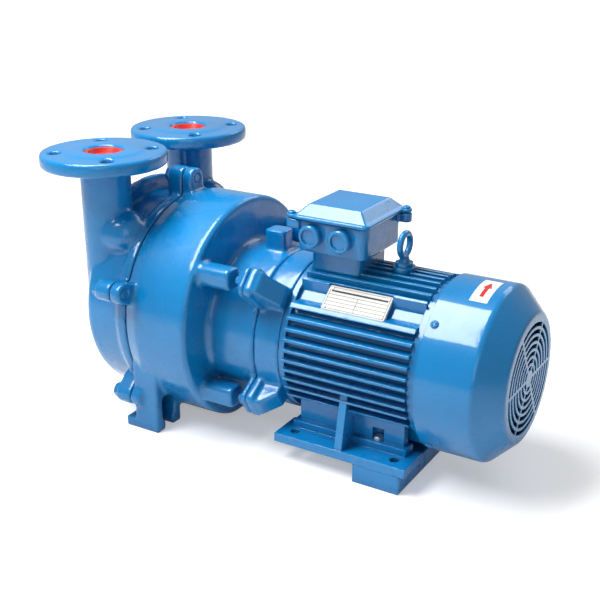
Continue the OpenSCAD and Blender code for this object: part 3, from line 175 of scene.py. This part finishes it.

# %% [markdown]
# ## Gloss enamel over castings and sheet
# The pump is sprayed after assembly, so castings, fasteners and sheet share one thick, glossy blue coat.
# The coat is painted a little paler over each edge, partly for a thin coat and partly as a painted highlight,
# and darker in the corners as painted shade. Sand casting shows through as a slow ripple with fine grain, and
# the sheet cowl is smoother.
# A bevel lookup rounds the shading at every sharp arris, and the angle between the rounded and the true
# surface tells where the edges are.

# %% Enamel
BLUE = np.array((0.0015, 0.195, 0.485))
DEEP_BLUE, PALE_BLUE = tuple(BLUE * 0.86), tuple(BLUE * 1.08)
# Paler colour over edges: partly a thin coat, partly a painted highlight.
THIN_COAT_AND_HIGHLIGHT_BLUE = (0.02, 0.4, 0.73)
EDGE_COSINES = (0.985, 0.86)  # from no edge to a full one
EDGE_SHARE = 0.45
# Navy colour painted into corners and crevices as painted shade.
PAINTED_SHADE_BLUE = tuple(BLUE * (3.0, 0.3, 0.42))
CORNER_REACH = 30 * MM
CORNER_OPEN = (0.25, 0.8)  # share of open air, from a deep corner to a free face
PAINTED_SHADE_SHARE = 0.55
GLOSS = (0.24, 0.36)
LOOKUPS = 4


def enamel(name, grain, ripple, round_over):
    """Glossy blue paint: cloudy tone, paler edges (thin coat and painted highlight), painted shade in the
    corners, grain and ripple in metres of relief.
    """
    paint = Finish(name, Coat_Weight=0.8, Coat_Roughness=0.05, IOR=1.45, Specular_IOR_Level=0.25)
    tone = paint.ramp(paint.noise(scale=7.0), *CLOUD, DEEP_BLUE, PALE_BLUE)
    rounded = paint.add("ShaderNodeBevel", {"Radius": round_over}, samples=LOOKUPS)
    face = paint.add("ShaderNodeNewGeometry", {}, output="Normal")
    along = paint.add("ShaderNodeVectorMath", {0: rounded, 1: face}, output="Value", operation="DOT_PRODUCT")
    # Edges painted paler, partly for the thin coat and partly as a painted highlight.
    thin_coat_and_highlight = paint.product(paint.level(along, *EDGE_COSINES, 0.0, EDGE_SHARE), paint.noise(scale=45.0))
    edged = paint.mix(thin_coat_and_highlight, tone, THIN_COAT_AND_HIGHLIGHT_BLUE)
    open_air = paint.add("ShaderNodeAmbientOcclusion", {"Distance": CORNER_REACH}, output="AO",
                         samples=LOOKUPS)
    # Corners found by the occlusion lookup are painted darker and navier: painted shade.
    shaded = paint.mix(paint.level(open_air, *CORNER_OPEN, PAINTED_SHADE_SHARE, 0.0), edged, PAINTED_SHADE_BLUE)
    rough = paint.level(paint.noise(scale=60.0, detail=4.0), *CLOUD, *GLOSS)
    relief = paint.bump(paint.noise(scale=55.0, detail=2.0), ripple, rounded)
    relief = paint.bump(paint.noise(scale=420.0, detail=4.0), grain, relief)
    return paint.use(Base_Color=shaded, Roughness=rough, Normal=relief, Coat_Normal=relief)


cast_enamel = enamel("gloss enamel on castings", grain=0.10 * MM, ripple=0.35 * MM, round_over=1.6 * MM)
sheet_enamel = enamel("gloss enamel on sheet", grain=0.02 * MM, ripple=0.12 * MM, round_over=1.0 * MM)
bolt_enamel = enamel("gloss enamel on fasteners", grain=0.04 * MM, ripple=0.03 * MM, round_over=0.4 * MM)
print("enamels made")

# %% [markdown]
# ## Bare metals
# Inside the pump the shaft, port plate and bearing rings are turned steel, and fine marks along the shaft
# break up the gloss. The marks are noise that is read finely across the shaft and hardly at all along it.
# Cores are stacks of thin sheets, so their noise is fine along the shaft instead.

# %% Metals
def metal(name, dark, light, scale, rough, depth, stretch=(1, 1, 1)):
    """Bare metal: two tones, a gloss that wanders within a range of roughness, and fine stretched relief."""
    bare = Finish(name, Metallic=1.0)
    grain = bare.noise(scale, detail=4.0, stretch=stretch)
    colour = bare.ramp(bare.noise(scale=18.0), *CLOUD, dark, light)
    gloss = bare.level(grain, *CLOUD, *rough)
    return bare.use(Base_Color=colour, Roughness=gloss, Normal=bare.bump(grain, depth))


steel = metal("turned steel", (0.42, 0.43, 0.45), (0.58, 0.59, 0.61),
              scale=900.0, rough=(0.2, 0.38), depth=0.02 * MM, stretch=(0.06, 1, 1))
zinc = metal("zinc plate", (0.5, 0.52, 0.55), (0.68, 0.69, 0.68),
             scale=260.0, rough=(0.25, 0.42), depth=0.01 * MM)
sheets = metal("stacked core sheets", (0.2, 0.21, 0.23), (0.34, 0.35, 0.37),
               scale=1400.0, rough=(0.4, 0.6), depth=0.08 * MM, stretch=(1, 0.02, 0.02))
bronze = metal("cast bronze", (0.4, 0.2, 0.06), (0.6, 0.36, 0.13),
               scale=320.0, rough=(0.3, 0.5), depth=0.06 * MM)
copper = metal("varnished copper wire", (0.32, 0.09, 0.02), (0.55, 0.2, 0.06),
               scale=800.0, rough=(0.25, 0.4), depth=0.25 * MM, stretch=(0.2, 1, 1))
brass = metal("turned brass", (0.5, 0.33, 0.09), (0.68, 0.48, 0.17),
              scale=700.0, rough=(0.2, 0.36), depth=0.02 * MM, stretch=(0.1, 1, 1))
aluminium = metal("satin aluminium", (0.42, 0.43, 0.44), (0.54, 0.55, 0.56),
                  scale=900.0, rough=(0.35, 0.5), depth=0.01 * MM)
print("metals made")

# %% [markdown]
# ## Plastics, rubber, ceramics and print
# The transit plugs in the ports are moulded red plastic with a soft sheen and a fine mould grain.
# The fan, gaskets, valve flap, seal faces and terminal board get the same recipe with other tones and grain.
# So does the nameplate: its aluminium is covered by a pale printed ground, which keeps its rules readable.

# %% Moulded and printed materials
MOULD_ROUND = 0.5 * MM


def moulded(name, dark, light, rough, depth):
    """A dielectric with two close tones, a wandering gloss and a fine mould grain of a real depth."""
    stuff = Finish(name, IOR=1.48)
    grain = stuff.noise(scale=700.0)
    colour = stuff.ramp(stuff.noise(scale=25.0), *CLOUD, dark, light)
    rounded = stuff.add("ShaderNodeBevel", {"Radius": MOULD_ROUND}, samples=LOOKUPS)
    gloss = stuff.level(grain, *CLOUD, *rough)
    return stuff.use(Base_Color=colour, Roughness=gloss, Normal=stuff.bump(grain, depth, rounded))


red = moulded("red moulded plastic", (0.48, 0.022, 0.016), (0.62, 0.036, 0.026),
              rough=(0.32, 0.46), depth=0.03 * MM)
black_plastic = moulded("black moulded plastic", (0.014, 0.014, 0.016), (0.03, 0.03, 0.034),
                        rough=(0.4, 0.55), depth=0.04 * MM)
rubber = moulded("black rubber", (0.012, 0.012, 0.012), (0.026, 0.025, 0.024),
                 rough=(0.6, 0.8), depth=0.05 * MM)
flap_sheet = moulded("white flap sheet", (0.7, 0.7, 0.66), (0.82, 0.81, 0.77),
                     rough=(0.4, 0.5), depth=0.02 * MM)
ceramic = moulded("lapped ceramic", (0.72, 0.69, 0.6), (0.82, 0.79, 0.7),
                  rough=(0.12, 0.2), depth=0.005 * MM)
carbon = moulded("lapped carbon", (0.03, 0.03, 0.033), (0.05, 0.05, 0.054),
                 rough=(0.3, 0.42), depth=0.01 * MM)
resin = moulded("brown moulded resin", (0.08, 0.034, 0.02), (0.13, 0.06, 0.036),
                rough=(0.35, 0.5), depth=0.03 * MM)
label_film = moulded("white label film", (0.78, 0.78, 0.77), (0.86, 0.86, 0.85),
                     rough=(0.25, 0.35), depth=0.01 * MM)
label_red = moulded("red label ink", (0.5, 0.016, 0.012), (0.6, 0.03, 0.02),
                    rough=(0.25, 0.35), depth=0.005 * MM)
plate_print = moulded("pale print on plate", (0.6, 0.59, 0.55), (0.7, 0.69, 0.66),
                      rough=(0.6, 0.75), depth=0.01 * MM)
plate_ink = moulded("dark plate ink", (0.03, 0.032, 0.036), (0.05, 0.052, 0.058),
                    rough=(0.7, 0.85), depth=0.005 * MM)
print("moulded and printed materials made")

# %% [markdown]
# ## One finish for each slot
# The record names a material slot for every node. A table from slot to finish dresses all the solids at once,
# so a node added later is dressed by its slot and nothing is left bare. The nameplate alone differs from its
# rivets: both are aluminium, and only the plate is printed.

# %% Dress the solids
finishes = {
    "blue_paint": cast_enamel, "cowl_paint": sheet_enamel, "painted_fastener": bolt_enamel,
    "blue_plastic": bolt_enamel, "zinc_fastener": zinc, "machined_steel": steel, "core_steel": sheets,
    "bronze": bronze, "copper_winding": copper, "terminal_brass": brass, "red_plastic": red,
    "fan_plastic": black_plastic, "valve_plastic": flap_sheet, "board_resin": resin, "seal_ceramic": ceramic,
    "seal_carbon": carbon, "black_rubber": rubber, "plate_aluminium": aluminium,
}
slots = {part["node"]: part["material_slot"] for part in frame["record"]["subparts"]}
for name, solid in nodes.items():
    solid.data.materials.clear()
    solid.data.materials.append(finishes[slots[name]])
nodes["nameplate"].data.materials[0] = plate_print
print("dressed", len(nodes), "solids in", len(set(slots.values())), "finishes")

# %% [markdown]
# ## Soft cast edges
# A sand casting has no sharp edge: corners are rounded off and every inside corner has a fillet, and thick
# enamel softens both. Bevelling each edge by hand would take many operations, so a copy of the solid is
# resampled on a fine cubic grid, and each point then moves a few times towards the mean of its neighbours.
# Flat faces stay flat, and each arris and inside corner gets a radius of about two grid steps.

# %% Castings
CORNER_WELD = 1e-6


def welded_copy(node, name):
    """A new object with a copy of a solid's mesh, its loose triangles joined at their shared corners."""
    mesh = nodes[node].data.copy()
    work = bmesh.new()
    work.from_mesh(mesh)
    bmesh.ops.remove_doubles(work, verts=work.verts, dist=CORNER_WELD)
    work.to_mesh(mesh)
    work.free()
    piece = bpy.data.objects.new(name, mesh)
    bpy.context.scene.collection.objects.link(piece)
    return piece


def settle(piece):
    """Keeps the result of an object's modifiers as its own plain, smooth mesh."""
    evaluated = piece.evaluated_get(bpy.context.evaluated_depsgraph_get())
    mesh = bpy.data.meshes.new_from_object(evaluated)
    piece.modifiers.clear()
    piece.data = mesh
    mesh.shade_smooth()
    return len(mesh.polygons)


def casting(node, grid, passes):
    """A soft-edged copy of a cast solid, which then stands for it."""
    piece = welded_copy(node, node + "_casting")
    resample = piece.modifiers.new("resample", "REMESH")
    resample.mode = "VOXEL"
    resample.voxel_size = grid
    relax = piece.modifiers.new("relax", "SMOOTH")
    relax.factor = 0.5
    relax.iterations = passes
    faces = settle(piece)
    piece.data.materials.clear()
    piece.data.materials.append(finishes[slots[node]])
    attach(piece, nodes[node]["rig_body"])
    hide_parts(node)
    print(piece.name, faces, "faces")


casting("pump_casing", grid=2.6 * MM, passes=5)
casting("port_cover", grid=2.6 * MM, passes=5)
casting("drive_end_shield", grid=2.2 * MM, passes=4)
casting("terminal_box", grid=1.3 * MM, passes=4)
casting("terminal_lid", grid=1.3 * MM, passes=4)
casting("support_block", grid=1.6 * MM, passes=4)

# %% [markdown]
# ## Surfaces as grids
# The small pieces that follow are surfaces on a grid: rows run along a profile and columns round an axis.
# Neighbouring grid points make four-sided faces, and rows that shrink to a point are welded shut.
# One piece often holds many copies of a shape, such as all the bolts of a joint, so the points of all copies
# come in one array and share one list of faces.

# %% Grids
GRID_WELD = 2e-7
CRISP = math.radians(32)


def grid_faces(rows, columns, ring_of_rows=False):
    """The faces between neighbouring points of a grid: columns close into a ring, and rows too if asked."""
    row = np.arange(rows if ring_of_rows else rows - 1)[:, None]
    column = np.arange(columns)[None, :]
    after, beside = (row + 1) % rows * columns, (column + 1) % columns
    corners = (row * columns + column, row * columns + beside, after + beside, after + column)
    return np.stack(corners, axis=-1).reshape(-1, 4)


def grid_piece(name, points, faces, finish, node, replaces=True):
    """A piece from copies of one grid: points are copies x rows x columns x 3, and faces index one copy."""
    copies = points.shape[0]
    each = points.shape[1] * points.shape[2]
    faces = (faces[None] + each * np.arange(copies)[:, None, None]).reshape(-1, 4)
    mesh = bpy.data.meshes.new(name)
    mesh.from_pydata(points.reshape(-1, 3).tolist(), [], faces.tolist())
    work = bmesh.new()
    work.from_mesh(mesh)
    bmesh.ops.remove_doubles(work, verts=work.verts, dist=GRID_WELD)
    bmesh.ops.recalc_face_normals(work, faces=work.faces)
    work.to_mesh(mesh)
    work.free()
    mesh.shade_smooth()
    mesh.set_sharp_from_angle(angle=CRISP)
    mesh.materials.append(finish)
    made = bpy.data.objects.new(name, mesh)
    bpy.context.scene.collection.objects.link(made)
    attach(made, nodes[node]["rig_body"])
    if replaces:
        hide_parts(node)
    print(name, copies, "copies,", len(mesh.polygons), "faces")


print("a band of 2 rows and 6 columns has", len(grid_faces(2, 6)), "faces")

# %% [markdown]
# ## Where each fastener stands
# A node of bolts is one mesh of several solids. Each piece takes its place from the solids it stands for, so
# nothing is measured twice: the mesh is first split into its solids, and each of those then gives a middle, a
# tip and a length along a known axis.

# %% Solids and their axes
def solids(node):
    """The corners of each solid of a node: the lowest label spreads along the edges until it settles."""
    mesh = nodes[node].data
    points = np.empty(3 * len(mesh.vertices))
    mesh.vertices.foreach_get("co", points)
    points = points.reshape(-1, 3)
    ends = np.empty(2 * len(mesh.edges), int)
    mesh.edges.foreach_get("vertices", ends)
    same = np.unique(np.round(points / CORNER_WELD).astype(int), axis=0, return_inverse=True)[1].ravel()
    one, other = same[ends.reshape(-1, 2)].T
    label, spread = None, np.arange(same.max() + 1)
    while label is None or (spread != label).any():
        label, spread = spread, spread.copy()
        np.minimum.at(spread, one, label[other])
        np.minimum.at(spread, other, label[one])
        spread = spread[spread]
    return [points[label[same] == k] for k in np.unique(label)]


def stands(node, axis_of):
    """For each solid of a node: the point where its axis meets its tip, its axis, and its length along it."""
    tips, axes, lengths = [], [], []
    for points in solids(node):
        middle = (points.min(axis=0) + points.max(axis=0)) / 2
        axis = np.array(axis_of(middle), float)
        axis /= np.linalg.norm(axis)
        along = (points - middle) @ axis
        tips.append(middle + axis * along.max())
        axes.append(axis)
        lengths.append(np.ptp(along))
    return np.array(tips), np.array(axes), float(np.mean(lengths))


print("joint bolts:", len(solids("joint_bolts")), "solids")

# %% [markdown]
# ## Turned surfaces
# Bolts, nuts, screws and rivets all start from a round form, so one function makes them all: it carries a
# profile round an axis. Two changes to the round form give the rest. A hexagon cuts the radius back to its
# flats, and a dip presses a recess into the top.

# %% Turned surfaces
NEARLY_X = 0.9  # an axis with a larger share than this along x is crossed with y instead of x


def turned(rows, feet, axes, columns, flats=None, dip=None):
    """Turned surfaces. Each row (r, z) is a ring round an axis a through a foot f, with u and v across it:
    the point at angle p is f + z a + r' (u cos p + v sin p). With flats given, r' is cut to a hexagon:
    the smaller of r and (flats / 2) / cos t, where t is the angle to the middle of the nearest flat.
    A dip lowers the points by a depth that depends on their place across the axis."""
    r, z = np.array(rows).T
    p = np.linspace(0, 2 * np.pi, columns, endpoint=False)
    radius = np.repeat(r[:, None], columns, axis=1)
    height = np.repeat(z[:, None], columns, axis=1)
    if flats is not None:
        t = np.mod(p + np.pi / 6, np.pi / 3) - np.pi / 6
        radius = np.minimum(radius, flats / 2 / np.cos(t))
    if dip is not None:
        height = height - dip(radius * np.cos(p), radius * np.sin(p)) * (height > 0)
    a = axes[:, None, None, :]
    helper = np.where(np.abs(a[..., :1]) < NEARLY_X, np.array((1.0, 0, 0)), np.array((0, 1.0, 0)))
    u = np.cross(a, helper)
    u = u / np.linalg.norm(u, axis=-1, keepdims=True)
    v = np.cross(a, u)
    across = radius[None, ..., None] * (u * np.cos(p)[:, None] + v * np.sin(p)[:, None])
    return feet[:, None, None, :] + height[None, ..., None] * a + across


print("turned surfaces ready")

# %% [markdown]
# ## Hexagon bolts and nuts
# A forged hexagon head has its corners cut back by a shallow cone, which leaves a curved edge on each flat,
# and a thin round washer face below. A turned profile cut to a hexagon makes both at once: where the profile
# is inside the hexagon it is round, and elsewhere the flats show. Nuts are coned on both faces.
# Standard heads keep the same proportions at every thread size, so their sizes are shares of it.

# %% Hexagon fasteners
HEX_COLUMNS = 72
FLATS = 1.5  # width across the flats, in thread sizes
HEAD = 0.65  # height of a bolt's head, in thread sizes
ROUND_EDGE = 0.47  # radius of the round top edge and of the washer face, in widths across the flats
PAST_CORNER = 0.578  # radius just outside the hexagon's corners, in widths across the flats
DISH_EDGE = 0.4  # radius of the shallow dish on top of a head, in widths across the flats
CONE = math.tan(math.radians(30))
CONE_STEPS = 6


def cone_rows(flats, height):
    """Rows of the cone that cuts a hexagon's corners, from the round top edge e out past the corners: at a
    radius r the cone lies (r - e) times its slope below the top."""
    edge = ROUND_EDGE * flats
    radii = np.linspace(edge, PAST_CORNER * flats, CONE_STEPS)
    return [(r, height - (r - edge) * CONE) for r in radii]


def hex_bolts(node, size, axis_of):
    """Bolts of one thread size with coned heads, washer faces and chamfered tips."""
    flats, head = FLATS * size, HEAD * size
    chamfer, washer, dish = 0.08 * size, 0.04 * size, 0.02 * size
    tips, axes, length = stands(node, axis_of)
    shank = length - head
    rows = [(0, -shank), (size / 2 - chamfer, -shank), (size / 2, -shank + chamfer), (size / 2, 0),
            (ROUND_EDGE * flats, 0), (ROUND_EDGE * flats, washer), (flats, washer)]
    rows += cone_rows(flats, head)[::-1] + [(DISH_EDGE * flats, head - dish), (0, head - dish)]
    points = turned(rows, tips - head * axes, axes, HEX_COLUMNS, flats)
    faces = grid_faces(len(rows), HEX_COLUMNS)
    grid_piece(node + "_forged", points, faces, finishes[slots[node]], node)


def hex_nuts(node, size, axis_of):
    """Nuts of one thread size, coned on both faces, with a chamfered bore."""
    flats, bore, chamfer = FLATS * size, 0.52 * size, 0.06 * size
    tips, axes, height = stands(node, axis_of)
    low = [(r, height - z) for r, z in cone_rows(flats, height)]
    rows = [(bore, chamfer), (bore + chamfer, 0)] + low + cone_rows(flats, height)[::-1]
    rows += [(bore + chamfer, height), (bore, height - chamfer)]
    points = turned(rows, tips - height * axes, axes, HEX_COLUMNS, flats)
    faces = grid_faces(len(rows), HEX_COLUMNS, ring_of_rows=True)
    grid_piece(node + "_forged", points, faces, finishes[slots[node]], node)


hex_bolts("joint_bolts", size=12 * MM, axis_of=lambda middle: (-1, 0, 0))
hex_bolts("drain_plug", size=13 * MM, axis_of=lambda middle: (-1, 0, 0))
hex_bolts("block_screws", size=8 * MM, axis_of=lambda middle: (0, 0, 1))
hex_bolts("drive_shield_screws", size=6 * MM, axis_of=lambda middle: (-1, 0, 0))
hex_bolts("fan_shield_screws", size=6 * MM, axis_of=lambda middle: (1, 0, 0))
hex_nuts("stud_nuts", size=10 * MM, axis_of=lambda middle: (-1, 0, 0))

# %% [markdown]
# ## Screws with a cross recess, and rivets
# The cowl and the terminal box lid are held by round-headed screws. The head is a low dome, and the driver's
# recess is a smooth cross pressed into it: deep where a point lies near either arm, and fading out at its
# rim. The nameplate's rivets are plain domes.

# %% Round heads
ROUND_COLUMNS = 96
RIM = 0.3  # height of a head's upright rim, as a share of the head's height
DOME_STEPS = 16
ARM_HALF, ARM_REACH, ARM_SOFT = 0.2, 0.62, 0.1  # the cross, as shares of the head's radius


def dome_rows(size, radius, height, shank):
    """Rows of a shank with a domed head: a short upright rim, then a quarter ellipse up to the middle, where
    the radius goes with cos s and the height above the rim with sin s, for s from 0 to a right angle."""
    s = np.linspace(0, np.pi / 2, DOME_STEPS)
    dome = np.stack((radius * np.cos(s), height * (RIM + (1 - RIM) * np.sin(s))), axis=1)
    return [(0, -shank), (size / 2, -shank), (size / 2, 0), (radius, 0)] + dome.tolist()


def cross_recess(radius, depth):
    """The depth of a cross at (x, y): the full depth times two factors from 0 to 1. One tells how far the
    smaller of |x| and |y| lies inside an arm's half width, and one how far the larger lies inside its end."""
    def soft(distance):
        return np.clip(distance / (ARM_SOFT * radius), 0, 1)

    def sunk(x, y):
        near, far = np.minimum(abs(x), abs(y)), np.maximum(abs(x), abs(y))
        return depth * soft(ARM_HALF * radius - near) * soft(ARM_REACH * radius - far)
    return sunk


def round_heads(node, size, radius, height, axis_of, recess):
    """Round-headed fasteners that stand for a node's solids."""
    tips, axes, length = stands(node, axis_of)
    rows = dome_rows(size, radius, height, length - height)
    dip = cross_recess(radius, recess) if recess else None
    points = turned(rows, tips - height * axes, axes, ROUND_COLUMNS, dip=dip)
    faces = grid_faces(len(rows), ROUND_COLUMNS)
    grid_piece(node + "_headed", points, faces, finishes[slots[node]], node)


def from_shaft(middle):
    """The direction out of the shaft's axis at a point."""
    return 0, middle[1] - shaft.y, middle[2] - shaft.z


plate_low, plate_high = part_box("nameplate")
plate_middle = (plate_low + plate_high) / 2
plate_normal = np.array(from_shaft(plate_middle), float)
plate_normal /= np.linalg.norm(plate_normal)
round_heads("cowl_screws", size=5 * MM, radius=5 * MM, height=2.5 * MM,
            axis_of=from_shaft, recess=1.2 * MM)
round_heads("lid_screws", size=5 * MM, radius=5 * MM, height=3.25 * MM,
            axis_of=lambda middle: (0, 0, 1), recess=1.5 * MM)
round_heads("nameplate_rivets", size=2.5 * MM, radius=2.2 * MM, height=1 * MM,
            axis_of=lambda middle: plate_normal, recess=0)

# %% [markdown]
# ## The arrow label
# A small film label wraps round the top of the cowl, with one red arrow for the direction of rotation.
# Both are thin strips swept round the shaft's axis: at each angle a strip has a half width along the shaft
# and a thickness, and both ends thin out to nothing so that the strip is closed.

# %% Label
COWL_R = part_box("fan_cowl")[1].z - shaft.z
LABEL_X = 0.267
FILM_RISE = np.array((0.02, 0.15)) * MM
INK_RISE = np.array((0.12, 0.22)) * MM
FILM_WIDE = 22 * MM
STEM_WIDE, BARB_WIDE, TIP_WIDE = 5 * MM, 11 * MM, 0.4 * MM


def strip(name, angles, widths, rise, finish):
    """A curved strip: at angle q from the near side, points lie at x = middle +- half width and at the inner
    or outer radius R, so y = -R cos q and z = shaft height + R sin q. Both radii are the cowl's plus a rise.
    The first and last angles come twice: the outermost rows lie on the inner radius and close the ends."""
    q = np.radians(np.r_[angles[0], angles, angles[-1]])[:, None]
    half = np.r_[widths[0], widths, widths[-1]][:, None] / 2
    inner, outer = COWL_R + rise
    inside = np.full_like(q, inner)
    outside = np.concatenate(([[inner]], np.full((len(q) - 2, 1), outer), [[inner]]))
    x = LABEL_X + np.hstack((-half, half, half, -half))
    radius = np.hstack((inside, inside, outside, outside))
    points = np.stack((x, -radius * np.cos(q), shaft.z + radius * np.sin(q)), axis=-1)
    grid_piece(name, points[None], grid_faces(len(q), 4), finish, "fan_cowl", replaces=False)


film = np.linspace(67, 95, 30)
strip("arrow_label_film", film, np.full(len(film), FILM_WIDE), FILM_RISE, label_film)
stem, tip = np.linspace(72, 82, 12), np.linspace(82, 90, 12)
arrow_widths = np.r_[np.full(len(stem), STEM_WIDE), np.linspace(BARB_WIDE, TIP_WIDE, len(tip))]
strip("arrow_label_ink", np.r_[stem, tip], arrow_widths, INK_RISE, label_red)

# %% [markdown]
# ## A blank nameplate form
# The plate carries the printed rules and heading bar of an empty form. Each is a thin flat box on the plate,
# given by two corners along the plate and across it, and all are made in one array.

# %% Nameplate rules
RULE = 0.5 * MM
PRINT_RISE = 0.04 * MM
MARGIN = 2.2 * MM
BAR_INSET, BAR_HALF = 2 * MM, 1.2 * MM
LEVELS, BAR_LEVEL = 7, 5  # the heading bar takes the place of one rule
sheet = solids("nameplate")[0] - np.array(plate_middle)
plate_x = np.array((1.0, 0, 0))
plate_y = np.cross(plate_normal, plate_x)
half_x, half_y = (sheet @ plate_x).max() - MARGIN, (sheet @ plate_y).max() - MARGIN
face = np.array(plate_middle) + plate_normal * (sheet @ plate_normal).max()
levels = np.linspace(-half_y, half_y, LEVELS)
below_bar, bar = levels[BAR_LEVEL - 1], levels[BAR_LEVEL]
ruled = [(-half_x, y - RULE / 2, half_x, y + RULE / 2) for y in np.delete(levels, BAR_LEVEL)]
ruled += [(x - RULE / 2, -half_y, x + RULE / 2, top)
          for x, top in ((-half_x, half_y), (0.0, below_bar), (half_x, half_y))]
ruled.append((-half_x + BAR_INSET, bar - BAR_HALF, half_x - BAR_INSET, bar + BAR_HALF))
left, low_y, right, high_y = np.array(ruled).T
ring_x = np.stack((left, right, right, left), axis=1)
ring_y = np.stack((low_y, low_y, high_y, high_y), axis=1)
ring = np.stack((ring_x, ring_y), axis=-1)
middle = np.repeat(ring.mean(axis=1, keepdims=True), 4, axis=1)
flat = np.stack((middle, ring, ring, middle), axis=1)
rise = np.array((0, 0, PRINT_RISE, PRINT_RISE))[None, :, None, None]
rules = face + flat[..., :1] * plate_x + flat[..., 1:] * plate_y + rise * plate_normal
grid_piece("nameplate_rules", rules, grid_faces(4, 4), plate_ink, "nameplate", replaces=False)

# %% [markdown]
# ## The floor
# The floor is a wide pale plane in a white room. A room as bright as it looks would wash the paint out, so
# the floor and the world give the camera their full white and light the pump far less: the rays that come
# from a camera, a mirror or glass can be told from the others. Mirrors see a part of the extra white, because
# all of it would lay a veil over the dark gloss. The extra white grows with the distance from the pump, where
# less of the lamps' light falls, and near the pump it is weak enough for the floor to keep its shadow.

# %% Floor
FLOOR_HALF = 40.0
MIRRORED = 0.2  # share of the extra white that a reflection sees
LIFT_PLACES = (0.7, 3.5)  # distances from the pump, in metres
LIFTS = (0.36, 0.86)  # the extra white at those distances


def background_rays(tree):
    """A number from 0 to 1 in a node tree: the share of the extra white that a ray of each kind sees."""
    path = tree.nodes.new("ShaderNodeLightPath")
    seen = path.outputs["Is Camera Ray"]
    for ray, share in (("Is Glossy Ray", MIRRORED), ("Is Transmission Ray", 1.0)):
        both = tree.nodes.new("ShaderNodeMath")
        both.operation, both.use_clamp = "MULTIPLY_ADD", True
        tree.links.new(path.outputs[ray], both.inputs[0])
        both.inputs[1].default_value = share
        tree.links.new(seen, both.inputs[2])
        seen = both.outputs[0]
    return seen


corner = np.array(((-1, -1, 0), (1, -1, 0), (1, 1, 0), (-1, 1, 0))) * FLOOR_HALF
floor_mesh = bpy.data.meshes.new("floor")
floor_mesh.from_pydata(corner.tolist(), [], [(0, 1, 2, 3)])
floor = bpy.data.objects.new("floor", floor_mesh)
bpy.context.scene.collection.objects.link(floor)
pale = Finish("pale floor", Roughness=0.9, Emission_Color=(1, 1, 1, 1))
tone = pale.ramp(pale.noise(scale=0.6), *CLOUD, (0.8, 0.8, 0.8), (0.83, 0.83, 0.83))
away = pale.add("ShaderNodeVectorMath", {0: pale.coords}, output="Value", operation="LENGTH")
glow = pale.product(background_rays(pale.tree), pale.level(away, *LIFT_PLACES, *LIFTS))
floor_mesh.materials.append(pale.use(Base_Color=tone, Emission_Strength=glow))
print("floor laid,", 2 * FLOOR_HALF, "m wide")

# %% [markdown]
# ## The world and the lamps
# The world is the white room, at a low level for all rays that only carry its light. One softbox at the
# upper left lights the pump and leaves the crisp white patch on the cowl. Two weak panels, one at the front
# right and one behind, open the shadows.

# %% World and lights
ROOM = 0.27  # strength of the world for rays that only carry its light
world = bpy.data.worlds.new("studio")
bpy.context.scene.world = world
world.use_nodes = True
sky = world.node_tree
backdrop = sky.nodes["Background"]
backdrop.inputs["Color"].default_value = (1, 1, 1, 1)
strength = sky.nodes.new("ShaderNodeMapRange")
strength.inputs["To Min"].default_value = ROOM
sky.links.new(background_rays(sky), strength.inputs["Value"])
sky.links.new(strength.outputs[0], backdrop.inputs["Strength"])


def softbox(name, place, aim, along, width, length, watts):
    """A rectangular light that faces a point, with its length along one direction."""
    lamp = bpy.data.lights.new(name, "AREA")
    lamp.shape = "RECTANGLE"
    lamp.size, lamp.size_y = width, length
    lamp.energy = watts
    stand = bpy.data.objects.new(name, lamp)
    back = (Vector(place) - Vector(aim)).normalized()
    side = Vector(along).cross(back).normalized()
    stand.matrix_world = Matrix((side, back.cross(side), back)).transposed().to_4x4()
    stand.location = place
    bpy.context.scene.collection.objects.link(stand)


softbox("key", place=(-0.6, -0.45, 1.75), aim=(-0.05, 0.0, 0.2), along=(0, 0.88, 0.47),
        width=0.7, length=1.7, watts=56.0)
softbox("fill", place=(1.1, -2.0, 1.0), aim=(0.0, 0.0, 0.15), along=(0, 0, 1),
        width=1.2, length=1.2, watts=5.0)
softbox("back", place=(0.4, 1.9, 1.6), aim=(0.0, 0.0, 0.2), along=(0, 0, 1),
        width=1.6, length=0.9, watts=10.0)
bpy.context.scene.view_settings.view_transform = "Standard"
print("lamps", [lamp.name for lamp in bpy.data.lights])
